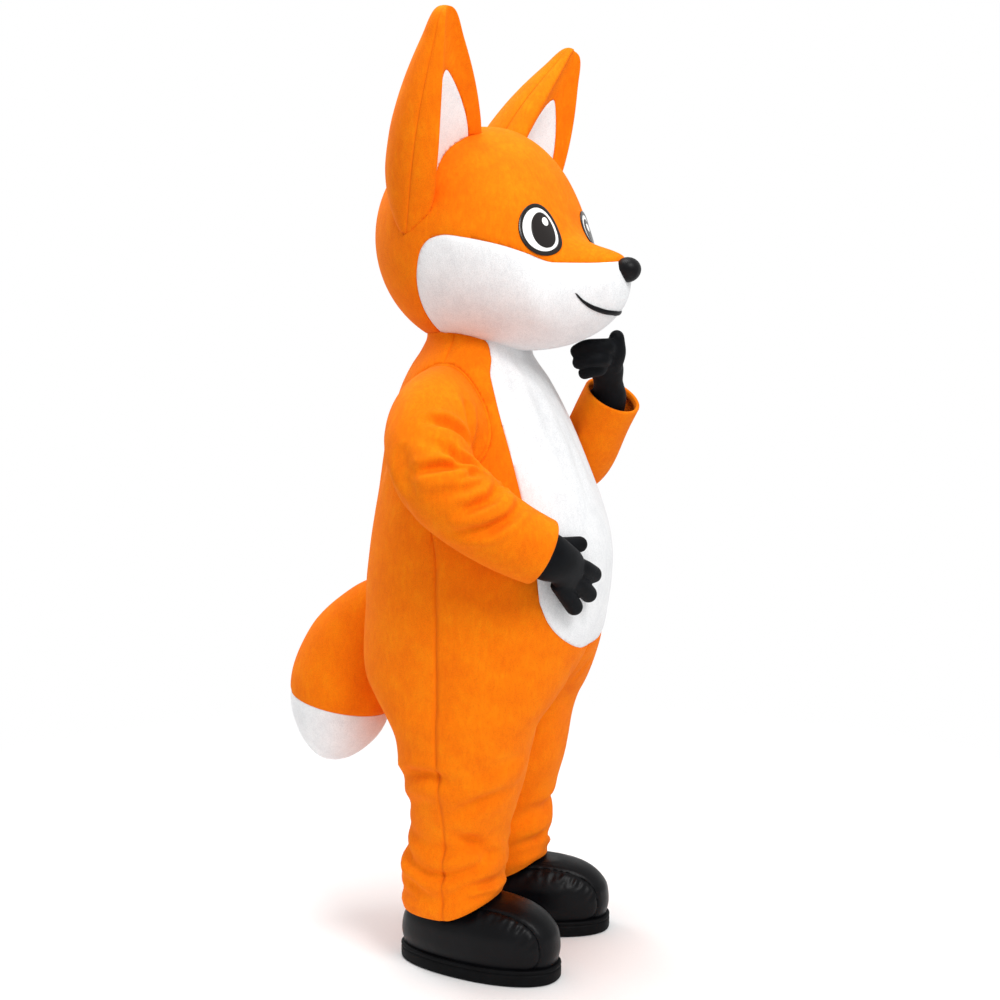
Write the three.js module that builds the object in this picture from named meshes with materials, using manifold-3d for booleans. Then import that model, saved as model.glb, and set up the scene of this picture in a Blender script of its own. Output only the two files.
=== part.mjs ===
// A plush fox costume, worn and hollow: a one-piece suit with a white belly panel and a tail,
// a foam-backed head, two four-digit gloves and two round-toed boots.
// Millimetres, +Z up, the wearer faces -Y and their left is +X.
// Heights in the tables are above the floor; the whole group is then lowered so that the
// origin is where the wearer's shoulders carry the suit.
import * as THREE from "three";
import { mergeVertices } from "three/addons/utils/BufferGeometryUtils.js";
import Module from "manifold-3d";

const wasm = await Module();
wasm.setup();

// Driving dimensions
const SHOULDER_HEIGHT = 1372; // floor to the neckline, where the suit hangs on the shoulders
const PLUSH = 3; // wall of the suit, backing and pile together
const SEAM = 0.3; // gap between two pieces that are sewn together
const HEAD_WALL = 9; // plush on foam sheet
const GLOVE_WALL = 2;
const BOOT_WALL = 3.5;
const SOLE_HEIGHT = 36;
const BODY_FULLNESS = 2.15; // exponent of the superellipse that a body section follows
const BODY_MIDDLE_Y = 5; // the body's middle line, behind the plane through the shoulders

const ORANGE = { color: 0xff8a12, roughness: 0.95, metalness: 0 };
const WHITE = { color: 0xf4f1ee, roughness: 0.95, metalness: 0 };
const BLACK_CLOTH = { color: 0x17181b, roughness: 0.75, metalness: 0 };
const BLACK_LEATHER = { color: 0x141416, roughness: 0.42, metalness: 0 };
const BLACK_RUBBER = { color: 0x101012, roughness: 0.6, metalness: 0 };
const EYE_WHITE = { color: 0xffffff, roughness: 0.3, metalness: 0 };
const EYE_DARK = { color: 0x1c120e, roughness: 0.15, metalness: 0 };

const degrees = THREE.MathUtils.degToRad;
const vec = (x, y, z) => new THREE.Vector3(x, y, z);
const power = (value, exponent) => Math.sign(value) * Math.abs(value) ** exponent;

// Smooth interpolation of one column of a table that is sorted by its driving column.
function column(rows, driver, name) {
  const xs = rows.map((row) => row[driver]);
  const ys = rows.map((row) => row[name]);
  const last = xs.length - 1;
  const chord = (i) => (ys[i + 1] - ys[i]) / (xs[i + 1] - xs[i]);
  const slope = xs.map((_, i) => {
    if (i === 0 || i === last) return chord(Math.min(i, last - 1));
    const before = chord(i - 1);
    const after = chord(i);
    return before * after <= 0 ? 0 : (2 * before * after) / (before + after);
  });
  return (x) => {
    if (x <= xs[0]) return ys[0];
    if (x >= xs[last]) return ys[last];
    const i = xs.findIndex((edge) => edge > x) - 1;
    const step = xs[i + 1] - xs[i];
    const t = (x - xs[i]) / step;
    const t2 = t * t;
    const t3 = t2 * t;
    return (
      (2 * t3 - 3 * t2 + 1) * ys[i] +
      (t3 - 2 * t2 + t) * step * slope[i] +
      (3 * t2 - 2 * t3) * ys[i + 1] +
      (t3 - t2) * step * slope[i + 1]
    );
  };
}

function columns(rows, driver) {
  const names = Object.keys(rows[0]).filter((name) => name !== driver);
  return Object.fromEntries(names.map((name) => [name, column(rows, driver, name)]));
}

const steps = (from, to, count) =>
  Array.from({ length: count + 1 }, (_, i) => from + ((to - from) * i) / count);

// A soft trough or ridge, 1 at its middle and 0 past its width.
const bump = (distance, width) => Math.exp(-((distance / width) ** 2));

// Triangles of a closed solid from points and quads; the winding is turned if it faces in.
function solidGeometry(points, triangles) {
  const volume = triangles.reduce((sum, [a, b, c]) => {
    const cross = vec().crossVectors(points[b], points[c]);
    return sum + points[a].dot(cross);
  }, 0);
  const faces = volume < 0 ? triangles.map(([a, b, c]) => [a, c, b]) : triangles;
  const geometry = new THREE.BufferGeometry().setFromPoints(points);
  geometry.setIndex(faces.flat());
  return geometry;
}

// A cloth wall between two grids of points with the same size. rows of points; the grid
// closes on itself across when round is true.
function wallBetween(outer, inner, round = false) {
  const rows = outer.length;
  const across = outer[0].length;
  const points = [...outer.flat(), ...inner.flat()];
  const face = (row, col) => row * across + (col % across);
  const back = (row, col) => rows * across + face(row, col);
  const triangles = [];
  const quad = (a, b, c, d) => triangles.push([a, b, c], [a, c, d]);
  const lastCol = round ? across : across - 1;
  for (let r = 0; r < rows - 1; r++)
    for (let c = 0; c < lastCol; c++) {
      quad(face(r, c), face(r, c + 1), face(r + 1, c + 1), face(r + 1, c));
      quad(back(r, c), back(r + 1, c), back(r + 1, c + 1), back(r, c + 1));
    }
  for (let c = 0; c < lastCol; c++) {
    quad(face(0, c), back(0, c), back(0, c + 1), face(0, c + 1));
    quad(face(rows - 1, c), face(rows - 1, c + 1), back(rows - 1, c + 1), back(rows - 1, c));
  }
  if (!round)
    for (let r = 0; r < rows - 1; r++) {
      quad(face(r, 0), face(r + 1, 0), back(r + 1, 0), back(r, 0));
      const end = across - 1;
      quad(face(r, end), back(r, end), back(r + 1, end), face(r + 1, end));
    }
  return solidGeometry(points, triangles);
}

// Outward normal of a surface function at (u, v), from small steps in both directions.
function normalAt(surface, u, v, du, dv, outwards) {
  const across = surface(u + du, v).sub(surface(u - du, v));
  const along = surface(u, v + dv).sub(surface(u, v - dv));
  const normal = across.cross(along).normalize();
  return normal.multiplyScalar(outwards);
}

// A closed surface of rings with a point at each end, for the booleans.
function ringSolid(rings, start, end) {
  const across = rings[0].length;
  const points = [...rings.flat(), start, end];
  const at = (row, col) => row * across + (col % across);
  const startAt = rings.length * across;
  const triangles = [];
  for (let c = 0; c < across; c++) {
    triangles.push([startAt, at(0, c + 1), at(0, c)]);
    triangles.push([startAt + 1, at(rings.length - 1, c), at(rings.length - 1, c + 1)]);
    for (let r = 0; r < rings.length - 1; r++) {
      triangles.push([at(r, c), at(r, c + 1), at(r + 1, c + 1)]);
      triangles.push([at(r, c), at(r + 1, c + 1), at(r + 1, c)]);
    }
  }
  return solidGeometry(points, triangles);
}

function toManifold(geometry) {
  const bare = geometry.index ? geometry.toNonIndexed() : geometry.clone();
  for (const name of Object.keys(bare.attributes))
    if (name !== "position") bare.deleteAttribute(name);
  const merged = mergeVertices(bare, 1e-3);
  return new wasm.Manifold(
    new wasm.Mesh({
      numProp: 3,
      vertProperties: merged.attributes.position.array,
      triVerts: new Uint32Array(merged.index.array),
    }),
  );
}

function toGeometry(solid) {
  const mesh = solid.getMesh();
  const geometry = new THREE.BufferGeometry();
  geometry.setAttribute("position", new THREE.BufferAttribute(mesh.vertProperties, 3));
  geometry.setIndex(new THREE.BufferAttribute(mesh.triVerts, 1));
  return geometry;
}

// The largest body of a solid, without the slivers that a cut leaves beside it.
function mainBody(solid) {
  const bodies = solid.decompose();
  return bodies.reduce((best, body) => (body.volume() > best.volume() ? body : best));
}

const costume = new THREE.Group();
costume.position.z = -SHOULDER_HEIGHT;

function addPiece(parent, name, geometry, finish) {
  const bare = geometry.clone();
  bare.computeVertexNormals();
  const mesh = new THREE.Mesh(bare, new THREE.MeshStandardMaterial(finish));
  mesh.name = name;
  parent.add(mesh);
  return mesh;
}

// The suit. One row for each level: offset is how far a leg's middle stands from the middle
// plane, side its half width beyond that, front and back its depth, middle where it is centred.
const BODY = [
  { z: 139, offset: 131, side: 102, front: 92, back: 126, middle: 6 },
  { z: 163, offset: 131, side: 112, front: 100, back: 136, middle: 6 },
  { z: 188, offset: 131, side: 109, front: 101, back: 126, middle: 5 },
  { z: 215, offset: 131, side: 112, front: 104, back: 131, middle: 5 },
  { z: 242, offset: 131, side: 112, front: 103, back: 132, middle: 4 },
  { z: 272, offset: 131, side: 108, front: 102, back: 121, middle: 3 },
  { z: 304, offset: 131, side: 106, front: 104, back: 112, middle: 1 },
  { z: 336, offset: 132, side: 110, front: 110, back: 112, middle: 0 },
  { z: 370, offset: 133, side: 118, front: 120, back: 114, middle: 0 },
  { z: 410, offset: 135, side: 128, front: 134, back: 122, middle: 0 },
  { z: 451, offset: 137, side: 133, front: 146, back: 129, middle: 0 },
  { z: 510, offset: 139, side: 137, front: 160, back: 133, middle: 0 },
  { z: 560, offset: 137, side: 141, front: 176, back: 156, middle: 0 },
  { z: 600, offset: 120, side: 152, front: 200, back: 190, middle: 0 },
  { z: 650, offset: 88, side: 183, front: 226, back: 226, middle: 0 },
  { z: 700, offset: 48, side: 223, front: 249, back: 242, middle: 0 },
  { z: 760, offset: 12, side: 260, front: 271, back: 248, middle: 0 },
  { z: 800, offset: 0, side: 272, front: 280, back: 248, middle: 0 },
  { z: 850, offset: 0, side: 270, front: 287, back: 246, middle: 0 },
  { z: 900, offset: 0, side: 268, front: 290, back: 240, middle: 0 },
  { z: 950, offset: 0, side: 264, front: 284, back: 233, middle: 0 },
  { z: 1010, offset: 0, side: 258, front: 267, back: 222, middle: 0 },
  { z: 1096, offset: 0, side: 246, front: 233, back: 207, middle: 0 },
  { z: 1165, offset: 0, side: 232, front: 203, back: 196, middle: 0 },
  { z: 1239, offset: 0, side: 212, front: 167, back: 176, middle: 2 },
  { z: 1291, offset: 0, side: 188, front: 140, back: 154, middle: 4 },
  { z: 1326, offset: 0, side: 160, front: 118, back: 136, middle: 5 },
  { z: 1342, offset: 0, side: 143, front: 111.5, back: 126, middle: 5 },
  { z: 1362, offset: 0, side: 124, front: 111.5, back: 117, middle: 5 },
  { z: 1376, offset: 0, side: 112, front: 111.5, back: 112, middle: 5 },
  { z: 1392, offset: 0, side: 112, front: 111.5, back: 112, middle: 5 },
];
const HEM_HEIGHT = 136.2;
const HEM_FRONT_LIFT = 38.3; // the hem rides up over the instep
const HEM_LIFT_FADE = 190;
const bodyAt = columns(BODY, "z");
// The feet stand a little to the wearer's left: how far each leg leans that way, and how far
// the left one leans forward.
const LEG_LEAN = [
  { z: 139, right: 10, left: 27, forward: 9 },
  { z: 270, right: 10, left: 27, forward: 9 },
  { z: 520, right: 0, left: 0, forward: 0 },
];
const leanAt = columns(LEG_LEAN, "z");

// The largest folds of a trouser leg: where round the leg, how deep, tall and wide, and how
// far each slants from its middle to its ends.
const LEG_FOLDS = [
  { z: 172, phi: 112, depth: 13, tall: 10, wide: 95, slant: -14 },
  { z: 206, phi: 8, depth: 11, tall: 12, wide: 58, slant: 20 },
  { z: 186, phi: -40, depth: 9, tall: 9, wide: 60, slant: 6 },
  { z: 262, phi: 140, depth: 8, tall: 15, wide: 45, slant: 14 },
  { z: 366, phi: 190, depth: 12, tall: 17, wide: 52, slant: 18 },
  { z: 316, phi: 35, depth: 9, tall: 18, wide: 50, slant: -26 },
  { z: 430, phi: 165, depth: 7, tall: 18, wide: 42, slant: -20 },
];
const LEFT_LEG_SHIFT = 11; // the left leg's folds stand this much further round, in degrees

function legFold(side, phi, z) {
  const shift = side > 0 ? LEFT_LEG_SHIFT : 0;
  return LEG_FOLDS.reduce((sum, fold) => {
    const turn = ((phi - fold.phi - shift + 900) % 360) - 180;
    const level = fold.z + fold.slant * (turn / fold.wide) ** 2;
    return sum + fold.depth * bump(z - level, fold.tall) * bump(turn, fold.wide);
  }, 0);
}

// Point of the suit's outer face: phi runs round from the front, through 90 at the side, to the
// back; level is the height before the hem's lift; side is 1 for the wearer's left.
function bodyPoint(side, phi, level, grow = 0) {
  const section = Object.fromEntries(
    ["offset", "side", "front", "back", "middle"].map((name) => [name, bodyAt[name](level)]),
  );
  const angle = degrees(phi);
  const fold = level < 520 ? legFold(side, phi, level) : 0;
  const depth = Math.cos(angle) > 0 ? section.front : section.back;
  const across = power(Math.sin(angle), 2 / BODY_FULLNESS);
  const along = power(Math.cos(angle), 2 / BODY_FULLNESS);
  const fade = Math.max(0, 1 - (level - HEM_HEIGHT) / HEM_LIFT_FADE) ** 2;
  const lift = HEM_FRONT_LIFT * fade * Math.max(0, Math.cos(angle)) ** 1.3;
  const lean = side > 0 ? leanAt.left(level) : leanAt.right(level);
  const forward = side > 0 ? leanAt.forward(level) : 0;
  return vec(
    side * (section.offset + (section.side - fold + grow) * across) + lean,
    section.middle - (depth - fold + grow) * along - forward,
    level + lift,
  );
}

const bodyNormal = (side, phi, level) =>
  normalAt((u, v) => bodyPoint(side, u, v), phi, level, 1.5, 4, side);

// phi where the two halves meet in the middle plane: the centre seams, or the inseam on a leg.
function frontCentre(level) {
  const share = bodyAt.offset(level) / bodyAt.side(level);
  return share >= 1 ? -90 : -THREE.MathUtils.radToDeg(Math.asin(share ** (BODY_FULLNESS / 2)));
}
const backCentre = (level) => 180 - frontCentre(level);
const mmToPhi = (mm, level) => THREE.MathUtils.radToDeg(mm / (bodyAt.side(level) || 1));

// phi at which the section reaches a distance x from the middle plane.
function phiAt(x, level) {
  const share = (x - bodyAt.offset(level)) / bodyAt.side(level);
  const sine = Math.min(1, Math.max(-1, power(share, BODY_FULLNESS / 2)));
  return THREE.MathUtils.radToDeg(Math.asin(sine));
}

// The white belly panel: half its width, measured straight across, at each level.
const BELLY = [
  { z: 711, half: 0 },
  { z: 715, half: 64 },
  { z: 724, half: 101 },
  { z: 739, half: 134 },
  { z: 760, half: 162 },
  { z: 788, half: 183 },
  { z: 828, half: 199 },
  { z: 950, half: 207 },
  { z: 1010, half: 204 },
  { z: 1100, half: 196 },
  { z: 1200, half: 183 },
  { z: 1290, half: 164 },
  { z: 1340, half: 132 },
  { z: 1362, half: 117 },
  { z: 1392, half: 104 },
];
const BELLY_FOOT = BELLY[0].z;
const bellyHalf = column(BELLY, "z", "half");
const bellyEdge = (level) => phiAt(bellyHalf(level), level);

// The armhole: an oval on the side of the suit, cut at ARMHOLE_STEPS levels.
const ARMHOLE = { phi: 97, halfPhi: 36, z: 1200, halfHeight: 122 };
const ARMHOLE_STEPS = 7;
const SIDE_SEAM_PHI = 90;
const armholeTop = ARMHOLE.z + ARMHOLE.halfHeight;
const armholeFoot = ARMHOLE.z - ARMHOLE.halfHeight;
const armholeLevels = steps(0, Math.PI, ARMHOLE_STEPS).map(
  (turn) => ARMHOLE.z + ARMHOLE.halfHeight * Math.cos(turn),
);
function armholeHalf(level) {
  const height = (level - ARMHOLE.z) / ARMHOLE.halfHeight;
  return Math.abs(height) >= 1 ? 0 : ARMHOLE.halfPhi * Math.sqrt(1 - height * height);
}
function sideSeam(level) {
  const share = THREE.MathUtils.smoothstep(level, 900, armholeFoot);
  return SIDE_SEAM_PHI + (ARMHOLE.phi - SIDE_SEAM_PHI) * share;
}

const LEG_LEVELS = [HEM_HEIGHT, 151, 164, 177, 192, 208, 228, 254, 284, 318, 364, 415, 484];
const TRUNK_LEVELS = [536, 572, 616, 664, ...BELLY.map((row) => row.z).filter((z) => z < 1050)];
const NECK_LEVELS = [1342, 1362, 1376, 1392];
const SUIT_LEVELS = [...LEG_LEVELS, ...TRUNK_LEVELS, 1050, ...armholeLevels, ...NECK_LEVELS].sort(
  (a, b) => a - b,
);
const PANEL_COLUMNS = 5;
const BELLY_COLUMNS = 8;

// A panel of the suit between two edges that are given as functions of the level.
function suitPanel(side, from, to) {
  const outer = SUIT_LEVELS.map((level) =>
    steps(from(level), to(level), PANEL_COLUMNS).map((phi) => bodyPoint(side, phi, level)),
  );
  const inner = SUIT_LEVELS.map((level, row) =>
    steps(from(level), to(level), PANEL_COLUMNS).map((phi, col) =>
      outer[row][col].clone().addScaledVector(bodyNormal(side, phi, level), -PLUSH),
    ),
  );
  return wallBetween(outer, inner);
}

const halfSeam = (level) => mmToPhi(SEAM / 2, level);
function frontEdge(level) {
  if (level > BELLY_FOOT) return bellyEdge(level);
  return frontCentre(level) + halfSeam(level);
}
const frontSideEdge = (level) => sideSeam(level) - Math.max(armholeHalf(level), halfSeam(level));
const backSideEdge = (level) => sideSeam(level) + Math.max(armholeHalf(level), halfSeam(level));
const backEdge = (level) => backCentre(level) - halfSeam(level);

const suit = new THREE.Group();
costume.add(suit);
const backs = [];
for (const [name, side] of [["left", 1], ["right", -1]]) {
  addPiece(suit, `suit_front_${name}`, suitPanel(side, frontEdge, frontSideEdge), ORANGE);
  const back = suitPanel(side, backSideEdge, backEdge);
  addPiece(suit, `suit_back_${name}`, back, ORANGE);
  backs.push(back);
}

// Moves each corner of an outline of [across, up] pairs in by a gap, at a right angle to it.
function insetOutline(outline, gap, round) {
  const last = outline.length - 1;
  return outline.map(([across, up], i) => {
    const before = outline[i > 0 ? i - 1 : round ? last : 0];
    const after = outline[i < last ? i + 1 : round ? 0 : last];
    const run = [after[0] - before[0], after[1] - before[1]];
    const length = Math.hypot(...run);
    return [across - (gap * run[1]) / length, up + (gap * run[0]) / length];
  });
}

// The belly panel, its edge inset from the front panels' edge by the seam.
function bellyPanel() {
  const levels = SUIT_LEVELS.filter((level) => level > BELLY_FOOT);
  const outline = levels.map((level) => [
    degrees(bellyEdge(level) - frontCentre(level)) * bodyAt.front(level),
    level,
  ]);
  const rows = insetOutline(outline, SEAM * 1.3, false).map(([across, up]) => {
    const level = Math.min(up, NECK_LEVELS.at(-1));
    const sweep = THREE.MathUtils.radToDeg(across / bodyAt.front(level));
    return { level, centre: frontCentre(level), sweep };
  });
  const spots = rows.map(({ level, centre, sweep }) =>
    steps(-1, 1, BELLY_COLUMNS).map((share) => ({
      side: share < 0 ? -1 : 1,
      phi: centre + sweep * Math.abs(share),
      level,
      middle: share === 0,
    })),
  );
  const outer = spots.map((row) => row.map(({ side, phi, level }) => bodyPoint(side, phi, level)));
  const inner = spots.map((row, r) =>
    row.map(({ side, phi, level, middle }, c) => {
      const normal = bodyNormal(side, phi, level);
      if (middle) normal.setX(0).normalize();
      return outer[r][c].clone().addScaledVector(normal, -PLUSH);
    }),
  );
  return wallBetween(outer, inner);
}
addPiece(suit, "suit_belly", bellyPanel(), WHITE);

// Frames along a smooth line, at shares of its length: where, which way, and two cross axes.
function framesAlong(points, shares, firstUp) {
  const line = new THREE.CatmullRomCurve3(points, false, "centripetal");
  line.arcLengthDivisions = 400;
  let up = firstUp;
  return shares.map((share) => {
    const along = line.getTangentAt(share);
    up = up.clone().addScaledVector(along, -up.dot(along)).normalize();
    return {
      centre: line.getPointAt(share),
      along,
      up,
      across: along.clone().cross(up),
      at: line.getUtoTmapping(share, 0),
    };
  });
}

const turns = (count) => steps(0, 2 * Math.PI, count).slice(0, count);

// Sleeves. The first ring lies in the armhole; the rest are ovals round the arm's line.
const RIGHT_ARM = [
  { x: -212, y: 10, z: 1206, tall: 118, wide: 92 },
  { x: -266, y: 8, z: 1196, tall: 108, wide: 93 },
  { x: -315, y: -4, z: 1154, tall: 102, wide: 93 },
  { x: -342, y: -38, z: 1094, tall: 98, wide: 92 },
  { x: -342, y: -94, z: 1040, tall: 90, wide: 86 },
  { x: -324, y: -144, z: 1000, tall: 83, wide: 80 },
  { x: -301, y: -188, z: 970, tall: 79, wide: 76 },
  { x: -274, y: -228, z: 947, tall: 76, wide: 72 },
];
const LEFT_ARM = [
  { x: 212, y: 10, z: 1206, tall: 118, wide: 92 },
  { x: 264, y: 2, z: 1188, tall: 106, wide: 91 },
  { x: 300, y: -26, z: 1138, tall: 96, wide: 88 },
  { x: 306, y: -66, z: 1094, tall: 86, wide: 83 },
  { x: 292, y: -110, z: 1076, tall: 79, wide: 78 },
  { x: 264, y: -150, z: 1098, tall: 75, wide: 74 },
  { x: 233, y: -184, z: 1144, tall: 72, wide: 71 },
  { x: 208, y: -214, z: 1196, tall: 70, wide: 69 },
  { x: 190, y: -244, z: 1244, tall: 69, wide: 69 },
];
const SLEEVE_ROWS = 12;
const SLEEVE_CLEAR = 4; // between a sleeve and the side of the suit it leans on
const SLEEVE_STEP = 7; // least advance from ring to ring on the inside of a bend
// Creases across a sleeve: where along it, how far round from its top towards the inside of
// the elbow, and how deep, long and wide each is.
const RIGHT_SLEEVE_FOLDS = [
  { along: 0.4, turn: 80, depth: 14, long: 0.035, wide: 65, slant: 0.07 },
  { along: 0.52, turn: 85, depth: 15, long: 0.035, wide: 60, slant: 0.05 },
  { along: 0.63, turn: 70, depth: 10, long: 0.03, wide: 55, slant: 0.05 },
  { along: 0.24, turn: 100, depth: 8, long: 0.04, wide: 50, slant: 0.1 },
];
const LEFT_SLEEVE_FOLDS = [
  { along: 0.45, turn: 75, depth: 11, long: 0.035, wide: 60, slant: 0.05 },
  { along: 0.56, turn: 60, depth: 10, long: 0.03, wide: 55, slant: 0.05 },
];

function creaseDepth(folds, angle, along) {
  return folds.reduce((sum, fold) => {
    const off = ((angle - fold.turn + 540) % 360) - 180;
    const place = fold.along + fold.slant * (off / fold.wide) ** 2;
    return sum + fold.depth * bump(along - place, fold.long) * bump(off, fold.wide);
  }, 0);
}

// Moves a point that lies inside the suit's side out to just clear of it.
function clearOfSuit(point, clear) {
  const middle = bodyAt.middle(point.z);
  const depth = point.y < middle ? bodyAt.front(point.z) : bodyAt.back(point.z);
  const across = Math.abs(point.x) / (bodyAt.side(point.z) + clear);
  const along = Math.abs(point.y - middle) / (depth + clear);
  const reach = (across ** BODY_FULLNESS + along ** BODY_FULLNESS) ** (1 / BODY_FULLNESS);
  if (reach >= 1 || point.z > armholeTop) return;
  point.x /= reach;
  point.y = middle + (point.y - middle) / reach;
}

function sleeveRings(side, arm, folds) {
  const table = arm.map((row, i) => ({ ...row, at: i / (arm.length - 1) }));
  const tall = column(table, "at", "tall");
  const wide = column(table, "at", "wide");
  const line = arm.map(({ x, y, z }) => vec(x, y, z));
  const frames = framesAlong(line, steps(0, 1, SLEEVE_ROWS), vec(0, 0, 1));
  return frames.map(({ centre, up, across, at }, row) =>
    turns(2 * ARMHOLE_STEPS).map((turn) => {
      const crease = creaseDepth(folds, THREE.MathUtils.radToDeg(turn), row / SLEEVE_ROWS);
      const point = centre
        .clone()
        .addScaledVector(up, (tall(at) - crease) * Math.cos(turn))
        .addScaledVector(across, side * (wide(at) - crease) * Math.sin(turn));
      clearOfSuit(point, SLEEVE_CLEAR);
      return point;
    }),
  );
}

function sleeve(side, arm, folds) {
  const rings = sleeveRings(side, arm, folds);
  const around = 2 * ARMHOLE_STEPS;
  const radius = bodyAt.side(ARMHOLE.z);
  const outline = turns(around).map((turn) => [
    degrees(ARMHOLE.halfPhi * Math.sin(turn)) * radius,
    ARMHOLE.z + ARMHOLE.halfHeight * Math.cos(turn),
  ]);
  const armhole = insetOutline(outline, -SEAM * 1.2, true).map(([across, level]) => ({
    phi: sideSeam(level) - THREE.MathUtils.radToDeg(across / radius),
    level,
  }));
  rings[0] = armhole.map(({ phi, level }) => bodyPoint(side, phi, level));
  const middles = rings.map((ring) =>
    ring.reduce((sum, point) => sum.add(point), vec()).divideScalar(around),
  );
  rings.slice(1).forEach((ring, row) => {
    const heading = middles[Math.min(row + 2, rings.length - 1)].clone().sub(middles[row]).normalize();
    ring.forEach((point, c) => {
      const advance = point.clone().sub(rings[row][c]).dot(heading);
      if (advance < SLEEVE_STEP) point.addScaledVector(heading, SLEEVE_STEP - advance);
    });
  });
  const normals = ringNormals(rings, middles);
  const inner = rings.map((ring, r) =>
    ring.map((point, c) => {
      const normal = normals[r][c];
      if (r > 0) return point.clone().addScaledVector(normal, -PLUSH);
      const facing = bodyNormal(side, armhole[c].phi, armhole[c].level);
      const mitre = facing.clone().add(normal).divideScalar(1 + facing.dot(normal));
      return point.clone().addScaledVector(mitre, -PLUSH);
    }),
  );
  return wallBetween(rings, inner, true);
}

// Outward normals at the points of a tube of rings.
function ringNormals(rings, middles) {
  const across = rings[0].length;
  const faces = [];
  for (let r = 0; r < rings.length - 1; r++)
    for (let c = 0; c < across; c++) {
      const next = (c + 1) % across;
      const [a, b] = [r * across + c, r * across + next];
      faces.push(a, b, b + across, a, b + across, a + across);
    }
  const shape = new THREE.BufferGeometry().setFromPoints(rings.flat());
  shape.setIndex(faces);
  shape.computeVertexNormals();
  const normals = shape.getAttribute("normal");
  const inMiddle = Math.floor(rings.length / 2);
  const sample = vec().fromBufferAttribute(normals, inMiddle * across);
  const outwards = Math.sign(sample.dot(rings[inMiddle][0].clone().sub(middles[inMiddle])));
  return rings.map((ring, r) =>
    ring.map((_, c) => vec().fromBufferAttribute(normals, r * across + c).multiplyScalar(outwards)),
  );
}
addPiece(suit, "sleeve_left", sleeve(1, LEFT_ARM, LEFT_SLEEVE_FOLDS), ORANGE);
addPiece(suit, "sleeve_right", sleeve(-1, RIGHT_ARM, RIGHT_SLEEVE_FOLDS), ORANGE);

// Closed rings of the suit's outer face, for the pieces that are cut to sit against it.
const suitRing = (level, grow, count = 48) =>
  turns(count).map((turn) => {
    const side = turn < Math.PI ? 1 : -1;
    const share = side > 0 ? turn / Math.PI : 2 - turn / Math.PI;
    const phi = frontCentre(level) + (backCentre(level) - frontCentre(level)) * share;
    return bodyPoint(side, phi, level, grow);
  });
function suitSolid(levels, grow) {
  const rings = levels.map((level) => suitRing(level, grow));
  const [first, last] = [rings[0][0].z, rings.at(-1)[0].z];
  return toManifold(ringSolid(rings, vec(0, BODY_MIDDLE_Y, first), vec(0, BODY_MIDDLE_Y, last)));
}

// Tail, stuffed. It hangs from the back of the suit; its tip is white.
const TAIL = [
  { y: 190, z: 812, radius: 46 },
  { y: 262, z: 752, radius: 78 },
  { y: 312, z: 670, radius: 112 },
  { y: 338, z: 590, radius: 124 },
  { y: 356, z: 512, radius: 112 },
  { y: 378, z: 446, radius: 74 },
  { y: 396, z: 404, radius: 22 },
];
const TAIL_TIP_FROM = 0.62; // share of its length
const TAIL_LENGTH = 560;
const TAIL_AROUND = 14;
const TAIL_SEAT = { foot: 560, top: 1000 }; // heights between which the tail meets the suit
function tail() {
  const table = TAIL.map((row, i) => ({ ...row, at: i / (TAIL.length - 1) }));
  const radius = column(table, "at", "radius");
  const line = TAIL.map(({ y, z }) => vec(0, y, z));
  const ring = ({ centre, up, across, at }) =>
    turns(TAIL_AROUND).map((turn) =>
      centre
        .clone()
        .addScaledVector(up, radius(at) * Math.cos(turn))
        .addScaledVector(across, radius(at) * Math.sin(turn)),
    );
  const piece = (from, to, rows) => {
    const frames = framesAlong(line, steps(from, to, rows), vec(0, 1, 0));
    const rings = frames.map(ring);
    return ringSolid(rings, frames[0].centre, frames.at(-1).centre.clone());
  };
  const gap = SEAM / TAIL_LENGTH;
  const base = toManifold(piece(0, TAIL_TIP_FROM - gap, 8));
  const seat = SUIT_LEVELS.filter((level) => level > TAIL_SEAT.foot && level < TAIL_SEAT.top);
  const inside = suitSolid(seat, SEAM);
  const behind = backs.map((back) => toManifold(back.clone().translate(0, 1.3 * SEAM, 0)));
  const seated = mainBody(behind.reduce((left, cut) => left.subtract(cut), base.subtract(inside)));
  return { base: toGeometry(seated), tip: piece(TAIL_TIP_FROM, 1, 6) };
}
const tailPieces = tail();
addPiece(suit, "tail_base", tailPieces.base, ORANGE);
addPiece(suit, "tail_tip", tailPieces.tip, WHITE);

// Head. Sections across its forward axis: how far forward, half width, top and bottom.
const HEAD_CENTRE = { x: 0, y: 5, z: 1590 };
const HEAD_YAW = -11; // turned towards the wearer's right
const HEAD_BACK = { half: 226, top: 238, bottom: 240 };
const HEAD_FRONT = [
  { forward: 0, half: 226, top: 238, bottom: -240 },
  { forward: 60, half: 222, top: 232, bottom: -243 },
  { forward: 110, half: 210, top: 211, bottom: -244 },
  { forward: 155, half: 190, top: 172, bottom: -242 },
  { forward: 181, half: 175, top: 132, bottom: -239 },
  { forward: 198, half: 163, top: 92, bottom: -236 },
  { forward: 211, half: 152, top: 55, bottom: -233 },
  { forward: 225, half: 139, top: 22, bottom: -229 },
  { forward: 244, half: 121, top: -4, bottom: -223 },
  { forward: 286, half: 86, top: -24, bottom: -205 },
  { forward: 318, half: 64, top: -34, bottom: -183 },
  { forward: 345, half: 42, top: -46, bottom: -154 },
  { forward: 360, half: 21, top: -62, bottom: -122 },
];
const MUZZLE_TIP = { forward: 366, z: -88 };
const HEAD_AROUND = 28;
const HEAD_BACK_ANGLES = [70, 50, 32, 16]; // sections behind the middle, as latitudes
const HEAD_STATIONS = [0, 44, 86, 122, 152, 178, 198, 214, 229, 248, 280, 314, 342, 360];
const LEAST_SECTION = 8; // a hollow narrower than this is left out
const headAt = columns(HEAD_FRONT, "forward");
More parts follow.
